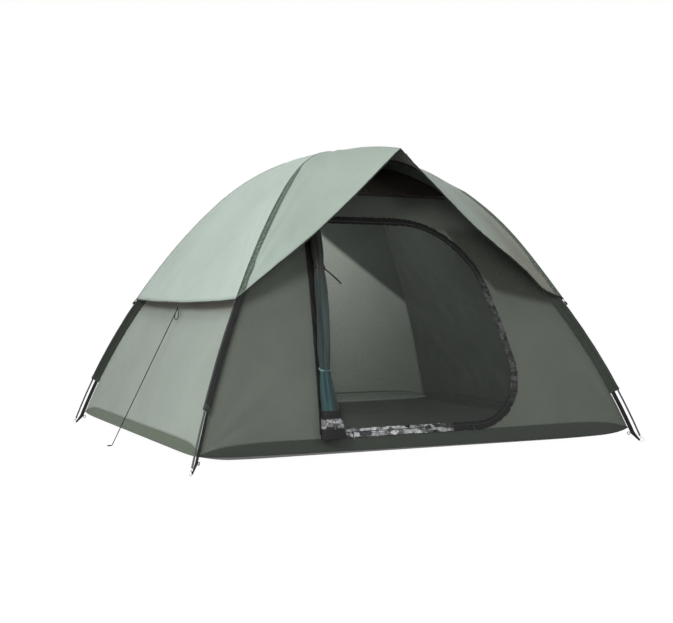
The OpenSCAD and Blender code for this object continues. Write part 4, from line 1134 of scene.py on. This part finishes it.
# %% Section of a sleeve
sleeve_end = 0.232
channel_r = 0.0079                                   # radius of the tube round the pole
round_turn = np.radians(np.linspace(-118, 118, 19))  # the tube's part of the section
web = np.linspace(0.0125, 0.0375, 6)                 # and the web's, inwards from the pole
sleeve_rows = 260


def sleeve_grid(sx, sy, grow=0.0, start=None, end=None, rows=sleeve_rows):
    """Teardrop section: most of a circle round the pole, and a web to the wall seam. Soft
    heights swell the tube and ripple the web, and the ripple grows towards the seam."""
    rise = rise_at(sx, sy)
    start = 0.120 / arc_radii(rise)[1] if start is None else start
    end = float(slope_at(sleeve_end, 0, rise)) if end is None else end
    slope = np.linspace(start, end, rows)[:, None]
    out = np.concatenate([(channel_r + grow) * np.cos(round_turn), -web, -web[::-1]])
    thick = 0.0012 + 0.0014 * (0.0345 - web) / 0.022 + grow
    side = np.concatenate([(channel_r + grow) * np.sin(round_turn), thick, -thick[::-1]])
    gone, seed = slope * 2.6 + 0 * out, sx + 3 * sy
    swell = 1 + 0.06 * crumple(gone, 0.02 * np.arange(len(out)), 0.16, 61 + seed)
    swell = np.where(out > -0.012, swell, 1)
    ripple = 0.0016 * crumple(gone, 0 * out, 0.09, 67 + seed)
    ripple *= np.clip(-out / 0.0345, 0, 1) ** 1.5
    return by_pole(sx, sy, slope, out * swell, side * swell + ripple)


print("a sleeve's section has", len(round_turn) + 2 * len(web), "points")

# %% Sleeves and their hems
# Painted shade: the front left sleeve is painted dark on its side towards the front wall, and the
# rear left sleeve a little darker all round.
front_side_painted_shade = np.concatenate([np.clip(np.sin(round_turn) / 0.5, 0, 1),
                           np.ones(len(web)), np.zeros(len(web))])
for name, (sx, sy) in corners.items():
    sleeve = piece(f"pole_sleeve_{name}", sleeve_grid(sx, sy), sleeve_cloth, wrap=(False, True),
                   thick=0.0008, replaces=f"sleeve_{name}")
    shaded = front_side_painted_shade * (name == "front_left") + 0.3 * (name == "rear_left")
    paint(sleeve, np.repeat(shaded[None], sleeve_rows, axis=0))
    hem = [float(slope_at(z, 0, rise_at(sx, sy)))
           for z in (sleeve_end + 0.016, sleeve_end - 0.001)]
    piece(f"sleeve_hem_{name}", sleeve_grid(sx, sy, 0.0007, *hem, rows=8), sleeve_cloth,
          wrap=(False, True), thick=0.0008)
print("the sleeves end", sleeve_end, "m up")

# %% Piping and painted highlight of the front left sleeve
# A pale tube on the front left sleeve's left edge: partly piping and partly a painted highlight,
# so the other sleeves have none.
piping_top, piping_low = 0.640, 0.380
slope = np.linspace(float(slope_at(piping_top)), float(slope_at(piping_low)), 90)
line = by_pole(-1, -1, slope, -0.0035, -0.0086)
piece("sleeve_piping_and_highlight_front_left", swept(line, circle(0.0019, 8), up), piping_and_highlight_cloth,
      wrap=(False, True), weld=True)
print("the piping is", round(float(gone_along(line)[-1]), 3), "m long")

# %% [markdown]
# ## Straps and loops at the corners
# Below its sleeve each pole is bare, and a webbing strap runs beside it to a steel ring. The
# strap narrows at the ring and is hitched round it. Two edges and the mix between them make it.

# %% Corner straps
ring_r, ring_wire = 0.010, 0.0026
eye_wire, eye_play, pin_shank = 0.0024, 0.0011, 0.003    # the pin's eye, which the ring hangs in
eye_r = ring_wire / 2 + eye_play + eye_wire / 2
eye_drop = eye_r + eye_wire / 2 + pin_shank
up_pole = np.array([-np.cos(tip_slope), np.sin(tip_slope)])
ring_centre = np.array([half_diagonal, tip_lift]) - up_pole * (eye_drop + ring_r)


def strap_grids(sx, sy):
    """The strap, thick across its pole's plane, and the loop that is hitched round the ring. The
    strap is mixed from two edges, which follow the pole's curve and end beside the ring."""
    rise = rise_at(sx, sy)
    away, side = corner_frame(sx, sy)
    slope = slope_at(np.linspace(0.231, 0.050, 44), 0, rise)
    edges = []
    for out, turn in ((-0.0150, np.radians(150)), (-0.0330, np.radians(210))):
        line = np.stack(curve(slope, out, rise), -1)
        hitch = ring_centre + 0.0128 * np.array([np.cos(turn), np.sin(turn)])
        t = np.linspace(0, 1, 12)[1:, None] ** 1.2
        edges.append(np.concatenate([line, line[-1] + t * (hitch - line[-1])]))
    v = np.linspace(0, 1, 9)[None, :, None]
    flat = edges[0][:, None] + v * (edges[1] - edges[0])[:, None]
    wave = 0.0016 * crumple(flat[..., 1], v[..., 0] * 0.01, 0.16, 71 + sx + 3 * sy)
    wave *= np.clip((flat[..., 1] - 0.03) / 0.05, 0, 1)
    body = flat[..., :1] * away + wave[..., None] * side + flat[..., 1:] * up
    turn = np.radians(np.linspace(152, 208, 12))[:, None]
    around = whole_turn(16)[None, :]
    far = ring_r + 0.0030 * np.cos(around)
    wire = ring_centre + np.stack([far * np.cos(turn), far * np.sin(turn)], -1)
    loop = (wire[..., :1] * away + wire[..., 1:] * up
            + (0.0030 * np.sin(around) + 0 * turn)[..., None] * side)
    return body, loop


for name, (sx, sy) in corners.items():
    body, loop = strap_grids(sx, sy)
    piece(f"corner_strap_{name}", body, black_webbing, thick=0.0018, replaces=f"strap_{name}")
    piece(f"strap_hitch_{name}", loop, black_webbing, wrap=(False, True), thick=0.0010)
print("each ring's middle is", round(float(ring_centre[1]), 4), "m up")

# %% Peg loops
def loop_grid(centre, away, radius, cord):
    """A closed loop of cord in the plane of away and up: a circle carried round a circle."""
    turn = whole_turn(48)[:, None]
    path = centre + radius * (np.cos(turn) * away + np.sin(turn) * up)
    return swept(path, circle(cord / 2, 10), np.cross(away, up), closed=True)


peg_loop_in = 0.0409    # from the pole's middle, just past the strap's edge
peg_loops = []
for sx, sy in corners.values():
    rise, (away, _) = rise_at(sx, sy), corner_frame(sx, sy)
    far, high = curve(slope_at(0.054, 0, rise), -peg_loop_in, rise)
    peg_loops.append(loop_grid(far * away + high * up, away, 0.006, 0.003))
piece("corner_peg_loops", peg_loops, black_cord, wrap=(True, True), replaces="peg_loops",
      weld=True)
print(len(peg_loops), "peg loops are tied")

# %% [markdown]
# ## The fly
# The rain fly is one big cap of cloth over the poles: a panel on each side, straight from front
# to rear, and four gable panels that run from the ridge pole to the pole seams and reach out
# over both walls as a brow. The brow's free edge sags a little in its length, and pulled cloth
# creases towards the corners where it is tied down.

# %% Fly sizes
fly_out = 0.01225                                    # the fly's distance from the poles' curve
hem_height, hem_sag = 0.640, 0.018
brow_reach, ridge_drop = 0.598, 0.058
pole_thick, tape_thick, gaps = 0.008, 0.002, 0.0013   # what lies under the ridge pole
ridge_h = peak_h + pole_rise + pole_thick + tape_thick + gaps
ridge_radius = (brow_reach ** 2 + ridge_drop ** 2) / (2 * ridge_drop)
ridge_angle = np.arcsin(brow_reach / ridge_radius)
hem_slope = float(slope_at(hem_height, fly_out, pole_rise))
ridge_cover = 0.00715                                # from the ridge pole's middle to the fly


def fly_lift(sx, slope):
    """How far the fly stands off the poles' curve: a bell curve low down lets it billow, which
    it does more on the right."""
    billow = 0.026 if sx > 0 else 0.004
    return fly_out + billow * np.exp(-((slope / hem_slope - 0.82) / 0.12) ** 2)


def on_ridge(s, cover):
    """A point above the ridge pole's arc; s runs from 0 at the middle to 1 at the brow."""
    radius = ridge_radius + cover
    s = np.asarray(s, float)
    return np.stack([0 * s, -radius * np.sin(ridge_angle * s),
                     ridge_h - ridge_radius + radius * np.cos(ridge_angle * s)], -1)


print("the ridge pole's arc has a radius of", round(ridge_radius, 3), "m")

# %% Side panels of the fly
def fly_side_grid(sx, seed, rows=121, cols=101):
    """Straight from front to rear and curved like the poles; the hem hangs lower at its middle.
    Soft creases run down from the seams and fan out from the tied corners."""
    f = np.linspace(-1, 1, cols)[None, :]
    t = np.linspace(0, 1, rows)[:, None]
    first = (0.0092 / share_x) / (arc_radii(pole_rise)[1] + fly_out)
    last = slope_at(hem_height - hem_sag * (1 - f ** 2), fly_out, pole_rise)
    slope = first + t * (last - first)
    far, high = curve(slope, fly_lift(sx, slope) - 0.0008, pole_rise)
    n_out, n_up = np.sin(slope), share_x * np.cos(slope)
    size = np.hypot(n_out, n_up)
    run, wide = 1.7 * slope, f * share_y * far
    ease = (1 - f ** 10) * np.clip(t / 0.05, 0, 1)
    fans = 0
    for end in (-1, 1):
        dx, dz = 1 - end * f, 1 - t
        from_corner, turn = np.hypot(dx, dz), np.arctan2(dz * 1.1, dx)
        fans = fans + (np.sin(turn * 15 + seed + end) * np.exp(-from_corner / 0.3)
                       * np.minimum(from_corner / 0.1, 1))
    proud = ease * (0.006 * (1 - f ** 2) * t + 0.0045 * crumple(run, wide, 0.8, seed)
                    + 0.0030 * fans + 0.0012 * crumple(run, wide, 0.16, seed + 1) * t ** 3)
    return np.stack([sx * (share_x * far + proud * n_out / size), wide + 0 * far,
                     high + proud * n_up / size], -1)


fly_sides = {}
for name, sx, seed in (("left", -1, 81), ("right", 1, 85)):
    fly_sides[name] = fly_side_grid(sx, seed)
    panel = piece(f"fly_{name}_side", fly_sides[name], fly_cloth, "fly", thick=0.0008,
                  replaces=f"fly_{name}_panel", lining=fly_lining)
print("each side panel has", len(panel.data.polygons), "faces")

# %% Gable panels and brow of the fly
gable_rows, gable_cols = 90, 70


def gable_grid(sx, sy, seed):
    """Straight lines from the ridge to the pole seam, s from the top (0) to the brow (1) and t
    from ridge to seam. The brow's edge bellies forward, and the tied corner creases."""
    s = 0.03 + 0.97 * np.linspace(0, 1, gable_rows)[:, None]
    t = np.linspace(0, 1, gable_cols)[None, :]
    ridge = on_ridge(s[:, 0], ridge_cover + 0.0012)[:, None] - [0.0006, 0, 0]
    slope = hem_slope * s[:, 0]
    far, high = curve(slope, fly_lift(sx, slope) - 0.0004, pole_rise)
    seam = np.stack([-share_x * far, -share_y * far, high], -1)[:, None]
    flat = ridge + t[..., None] * (seam - ridge)
    down, over = np.gradient(flat, axis=0), np.gradient(flat, axis=1)
    normal = unit(np.cross(over, down))
    normal *= np.sign(normal[..., 2:].mean())
    belly = np.sin(np.pi * t) * s ** 6
    corner_far = np.hypot(1 - s, 1 - t)
    turn = np.arctan2(1 - s, 1 - t + 1e-6)
    fan = np.sin(turn * 13 + seed) * np.exp(-corner_far / 0.22) * np.minimum(corner_far / 0.08, 1)
    ease = np.clip(t / 0.05, 0, 1) * np.clip((1 - t) / 0.05, 0, 1)
    proud = ease * (0.0035 * crumple(s * 0.9, t * 0.7, 0.6, seed) + 0.0050 * fan
                    + 0.0010 * crumple(s * 0.9, t * 0.9, 0.12, seed + 1) * s ** 3)
    made = flat + proud[..., None] * normal + belly[..., None] * np.array([0, -0.020, -0.008])
    if sx < 0:
        sag = 0.014 * belly
    else:
        dip = 0.018 * np.exp(-((t - 0.86) / 0.08) ** 2)
        sag = s ** 6 * (0.044 * np.sin(np.pi * t) ** 0.8 + dip)
    made = made - (sag * ease)[..., None] * up
    return made * [-sx, -sy, 1]


gables = {}
s, t = np.linspace(0, 1, gable_rows)[:, None], np.linspace(0, 1, gable_cols)[None, :]
brow_shade = np.clip((s - 0.72) / 0.2, 0, 1) * np.clip((t - 0.55) / 0.2, 0, 1)
for name, (sx, sy) in corners.items():
    gables[name] = gable_grid(sx, sy, 91 + 2 * sx + 5 * sy)
    panel = piece(f"fly_{name}_gable", gables[name], fly_gable_cloth, "fly", thick=0.0008,
                  replaces=f"fly_{name}_panel", lining=fly_lining)
    # Painted shade on each right gable, near the corner where its brow meets the pole seam.
    paint(panel, (sx > 0) * brow_shade)
print("the fly is sewn from", len(fly_sides) + len(gables), "panels")

# %% [markdown]
# ## Seams and edges of the fly
# Each pole seam of the fly is covered by a tape that widens downwards, painted dark towards
# the bottom as the shade beside the seam, with a ribbed one beside it whose crests are painted
# pale as highlights. Sewn tape gathers, so both stand up in small waves. The hems are rolled,
# the brows are bound, and a small cap covers the crown.

# %% Seams of the fly over the poles
fly_binding = woven("fly_seam_binding", "93a498", "82928a", pitch=0.0012, painted="25331f")
fly_ribbing = woven("fly_seam_ribbing", "3a4638", "2c372b", pitch=0.0012, painted="95a598")


def seam_strip(grid, near, far, gather, cols=9):
    """A strip laid on a gable beside its pole seam, between two distances from the seam, which
    are arrays down the seam. Gathers stand up across it: a wave whose phase wanders."""
    rows, last = len(near), grid.shape[1] - 1
    row = np.linspace(0.10 * (len(grid) - 1), len(grid) - 1, rows)
    low = np.minimum(row.astype(int), len(grid) - 2)
    lines = grid[low] + (row - low)[:, None, None] * (grid[low + 1] - grid[low])
    size = np.linalg.norm(lines[:, -1] - lines[:, 0], axis=-1)[:, None]
    at = last * (1 - (near[:, None] + (far - near)[:, None] * np.linspace(0, 1, cols)) / size)
    left = np.clip(at.astype(int), 0, last - 1)
    every = np.arange(rows)[:, None]
    here, there = lines[every, left], lines[every, left + 1]
    flat = here + (at - left)[..., None] * (there - here)
    normal = unit(np.cross(np.gradient(flat, axis=1), np.gradient(flat, axis=0)))
    normal *= np.sign((normal * (flat - tent_middle)).sum())
    gone = run_lengths(flat, 0, False)[:, None]
    wander = 0.4 * crumple(gone, 0 * gone, 0.08, 97) + 0.2 * np.linspace(0, 1, cols)
    wave = (np.abs(np.sin(np.pi * gone / 0.011 + 3 * wander))
            + 0.5 * crumple(gone + 0 * at, at, 0.03, 98))
    ends = np.sin(np.pi * np.linspace(0.08, 0.92, cols))
    return flat + (0.0012 + gather[:, None] * ends * wave)[..., None] * normal, wave


down = np.linspace(0, 1, 460)
start = np.full(down.shape, -0.001)
dark_wide = 0.0022 + 0.0155 * down ** 1.5
pale_wide = np.clip((down - 0.42) / 0.15, 0, 1) * (0.012 + 0.017 * down ** 2) + 0.0005
# Painted shade and highlight: the dark tape is painted darker towards the bottom, and the ribbed
# tape's crests are painted pale.
strength = np.clip(down * 1.6 - 0.2, 0, 1)[:, None]
for name, grid in gables.items():
    for part, near, far, finish, gather, level in (
            ("dark", start, dark_wide, fly_binding, 0.0010, 0.5),
            ("ribbed", dark_wide, dark_wide + pale_wide, fly_ribbing, 0.0026, -0.35)):
        strip, wave = seam_strip(grid, near, far, gather * down)
        strip = piece(f"fly_seam_{part}_{name}", strip, finish, "fly", thick=0.0006)
        paint(strip, strength * np.clip(wave + level, 0, 1))
print("the seam tapes widen to", round(1000 * float(dark_wide[-1]), 1), "and",
      round(1000 * float(pale_wide[-1]), 1), "mm")

# %% Hems of the fly
def edge_tube(line, radius, seed):
    """A rolled edge: a thin tube along a line, whose thickness wavers as a sewn one does."""
    line = spaced(line, 260)
    gone = gone_along(line)
    waver = radius * (1 + 0.25 * crumple(gone, 0 * gone, 0.05, seed))
    return swept(line, circle(waver, 10), up + np.array([0.01, 0.02, 0]))


for name, sx in (("left", -1), ("right", 1)):
    grid = fly_sides[name]
    piece(f"fly_{name}_hem_roll", edge_tube(grid[-1] - [0, 0, 0.0004], 0.0022, 101), dark_binding,
          "fly", (False, True), replaces=f"fly_{name}_hem", weld=True)
    inner = grid[-4:-1] - np.array([sx * 0.0022, 0, 0.0008])
    piece(f"fly_{name}_hem_fold", inner, seam_cloth, "fly", thick=0.0007)
print("the hems hang", hem_height - hem_sag, "m up at their middle")

# %% Binding of the brows
for name, (sx, sy) in corners.items():
    replaced = "brow_binding_front" if sy < 0 else "brow_binding_rear"
    piece(f"brow_edge_{name}", edge_tube(gables[name][-1, 2:], 0.0030, 105 + sx), dark_binding,
          "fly", (False, True), replaces=replaced if sx < 0 else (), weld=True)
print("both brows are bound")

# %% Cap over the crown
cap_half = 0.020
s, t = np.meshgrid(np.linspace(-1, 1, 15), np.linspace(-1, 1, 21), indexing="ij")
x = cap_half * t
high = (ridge_h + ridge_cover + 0.0030 - 27.5 * x ** 2
        - 0.0015 * np.abs(t) + 0.0004 * np.sin(9 * s))
piece("fly_crown_cap", np.stack([x, cap_half * s, high], -1), fly_cloth, "fly", thick=0.0009,
      replaces="fly_crown_patch")
print("the cap's top is", round(float(high.max()), 4), "m up")

# %% [markdown]
# ## Small cloth and cord parts of the fly
# The ridge pole hangs from short loops under the fly and ends in a webbing pocket at each brow.
# A toggle holds each corner of the fly, and a cord loop at the left hem takes the guyline.

# %% Ridge loops
loop_half, turn = 0.020, whole_turn(20)
tall = np.where(np.sin(turn) > 0, 0.0066, 0.0052)
ring = np.stack([0.0050 * np.cos(turn), 0 * turn, tall * np.sin(turn)], -1)
loops = []
for mid in (-0.6, -0.2, 0.2, 0.6):
    s = mid + np.linspace(-1, 1, 9) * loop_half / (ridge_radius * ridge_angle)
    loops.append(on_ridge(s, 0)[:, None] + ring)
piece("ridge_pole_loops", loops, fly_gable_cloth, "fly", (False, True), thick=0.0007,
      replaces="ridge_loops")
print(len(loops), "loops hold the ridge pole")

# %% Brow pockets
v = np.linspace(-1, 1, 13)[None, :, None]
pocket = v * [0.012, 0, 0] + v ** 2 * [0, 0, 0.0035]    # across, curled up at both edges
pockets = []
for sy in (-1, 1):
    spine = on_ridge(np.linspace(0.935, 1.008, 10), -0.0068) * [1, -sy, 1]
    pockets.append(spine[:, None] + pocket)
piece("brow_pole_pockets", pockets, black_webbing, "fly", thick=0.0018, replaces="brow_pockets")
print(len(pockets), "pockets take the ridge pole's ends")

# %% Corner loops
loops, t = [], whole_turn(40)[:, None]
for sx, sy in corners.values():
    slope, (away, side) = float(slope_at(0.614, 0, rise_at(sx, sy))), corner_frame(sx, sy)
    base = by_pole(sx, sy, np.array(slope), 0.01275)
    grow = unit(-np.cos(slope) * away + np.sin(slope) * up)
    path = base + grow * (0.0158 + 0.0058 * np.cos(t)) + side * 0.0030 * np.sin(t)
    loops.append(swept(path, circle(0.0011, 8), unit(grow * np.tan(slope) + away), closed=True))
piece("fly_corner_cord_loops", loops, black_cord, "fly", (True, True),
      replaces="fly_corner_loops", weld=True)
print(len(loops), "cord loops hold the fly's corners")

# %% Loop for the guyline
t = whole_turn(60)[:, None]
drop = (1 - np.cos(t)) / 2    # 0 at the hem and 1 at the loop's lowest point
across = unit([0.3, -1.0, 0.0])
tear = (guy_start + [0, 0, 0.004] + (0.016 * np.sin(t) * (0.25 + drop) + 0.014 * drop) * across
        + drop * [-0.016, 0, -0.056])
piece("guy_loop_cord", swept(tear, circle(0.0017, 10), [1, 0, 0], closed=True), black_cord, "fly",
      (True, True), replaces="guy_loop", weld=True)
print("the loop hangs", round(1000 * float(np.ptp(tear[:, 2]))), "mm down")

# %% [markdown]
# ## Tapes at the crossing
# Where the poles cross, a band of tape ties them together, and a loop for a lantern hangs on a
# short stem. Each is one outline repeated across the tape's width.

# %% Lantern loop
turn, tape_across = whole_turn(48), np.linspace(-0.004, 0.004, 5)
lantern_r, lantern_drop = 0.012, 0.024
lantern_z = peak_h + wall_out - 0.0012 - lantern_drop - lantern_r
lantern = [np.stack([lantern_r * np.cos(turn), 0 * turn + k,
                     lantern_z + lantern_r * np.sin(turn)], -1) for k in tape_across]
piece("lantern_ring_tape", np.stack(lantern), black_webbing, wrap=(False, True), thick=0.0018,
      replaces="lantern_loop")
y, z = np.meshgrid(tape_across, lantern_z + lantern_r + np.linspace(0, lantern_drop, 9))
piece("lantern_tape_stem", np.stack([0.0006 * np.sin(300 * y), y, z], -1), black_webbing,
      thick=0.0036)
print("the lantern loop's middle is", round(lantern_z, 3), "m up")

# %% Tie round the crossing
tie_w, tie_h = 0.0125, 0.0105
x = tie_w * boxy(np.cos(turn), 0.5)
z = peak_h + pole_rise / 2 + tie_h * boxy(np.sin(turn), 0.5)
tie = np.stack([np.stack([x, 0 * turn + k, z], -1) for k in tape_across])
piece("crossing_tie_tape", tie, black_webbing, wrap=(False, True), thick=0.0018,
      replaces="crossing_tie")
print("the tie is", round(2000 * tie_w), "by", round(2000 * tie_h), "mm")

# %% [markdown]
# ## Hard parts
# Poles, ferrules, rings, pins, sliders, pulls, caps and toggles have their right shape already,
# so only their finish changes.

# %% Finishes of the hard parts
def dress(names, finish):
    """Gives a finish to solids that stay in sight."""
    for name in names:
        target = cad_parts[name]
        if target.material_slots:
            for spot in target.material_slots:
                spot.material = finish
        else:
            target.data.materials.append(finish)


dress(["pole_a", "pole_b", "ridge_pole"], glass_fibre)
dress(["corner_rings", "tip_pins", "pole_a_ferrules", "pole_b_ferrules", "ridge_ferrules"], steel)
dress(["pole_a_shock_cord", "pole_b_shock_cord"], tip_wrap)
dress(["ridge_end_caps", "fly_toggles"], black_plastic)
dress(["zip_slider_left", "zip_slider_right", "zip_pull_left", "zip_pull_right"], zip_metal)
print(len(bpy.data.materials) - packed_finishes, "finishes of this lesson are in use")

# %% [markdown]
# ## Floor and light
# A pale floor takes the tent's shadow, and big soft lamps stand for a plain studio. What the
# camera sees behind the tent is white, while the light itself stays at a plain level.

# %% Floor
def seen_by_camera(tree):
    """1 for what the camera sees, straight on or by way of something shiny or clear, and 0 for
    the light that falls on the tent."""
    rays = node(tree, "LightPath").outputs
    return maths(tree, "MAXIMUM", rays["Is Camera Ray"],
                 maths(tree, "MAXIMUM", rays["Is Glossy Ray"], rays["Is Transmission Ray"]))


def backdrop():
    """A pale floor that the camera sees lightened, with its shadow kept."""
    material = bpy.data.materials.new("pale_floor")
    material.use_nodes = True
    tree = material.node_tree
    tree.nodes.clear()
    share = maths(tree, "MULTIPLY", seen_by_camera(tree), 0.9)
    plain = node(tree, "BsdfDiffuse", {"Color": (0.85, 0.85, 0.85, 1)}).outputs[0]
    white = node(tree, "Emission", {"Color": (1, 1, 1, 1), "Strength": 1.1}).outputs[0]
    both = node(tree, "MixShader", {0: share, 1: plain, 2: white}).outputs[0]
    tree.links.new(both, node(tree, "OutputMaterial").inputs[0])
    return material


reach, low = 30, -0.002
ground = bpy.data.meshes.new("floor")
ground.from_pydata([(-reach, -reach, low), (reach, -reach, low), (reach, reach, low),
                    (-reach, reach, low)], [], [(0, 1, 2, 3)])
ground.materials.append(backdrop())
floor = bpy.data.objects.new("floor", ground)
bpy.context.scene.collection.objects.link(floor)
print("the floor lies", -1000 * low, "mm under the tent")

# %% Lamps
def lamp(name, place, aim, size, power):
    """A square soft lamp that faces a point."""
    data = bpy.data.lights.new(name, "AREA")
    data.size, data.energy = size, power
    made = bpy.data.objects.new(name, data)
    made.location = place
    to = unit(np.array(aim, float) - np.array(place, float))
    made.rotation_euler = (np.arccos(-to[2]), 0, np.arctan2(-to[0], to[1]))
    bpy.context.scene.collection.objects.link(made)


lamp("key", (-4.3, -3.4, 3.6), (0, 0, 0.6), 1.8, 178)
lamp("top_fill", (-1.2, 0.4, 5.4), (0, 0, 0.6), 2.4, 85)
lamp("front_fill", (1.8, -5.4, 1.2), (0, 0, 0.5), 2.0, 27)
lamp("low_fill", (-3.4, -4.6, 0.5), (0, 0, 0.7), 1.6, 26)
lamp("inside", (-0.05, -0.1, 0.70), (0.35, 0.9, 0.25), 0.5, 5.5)
print(len(bpy.data.lights), "lamps light the tent")

# %% Background
world = bpy.data.worlds.new("studio")
bpy.context.scene.world = world
world.use_nodes = True
tree = world.node_tree
tree.nodes.clear()
soft = node(tree, "Background", {"Color": (1, 1, 1, 1), "Strength": 0.13}).outputs[0]
white = node(tree, "Background", {"Color": (1, 1, 1, 1), "Strength": 1.0}).outputs[0]
both = node(tree, "MixShader", {0: seen_by_camera(tree), 1: soft, 2: white}).outputs[0]
tree.links.new(both, node(tree, "OutputWorld").inputs[0])
bpy.context.scene.view_settings.view_transform = "Standard"
print("the background is", world.name)
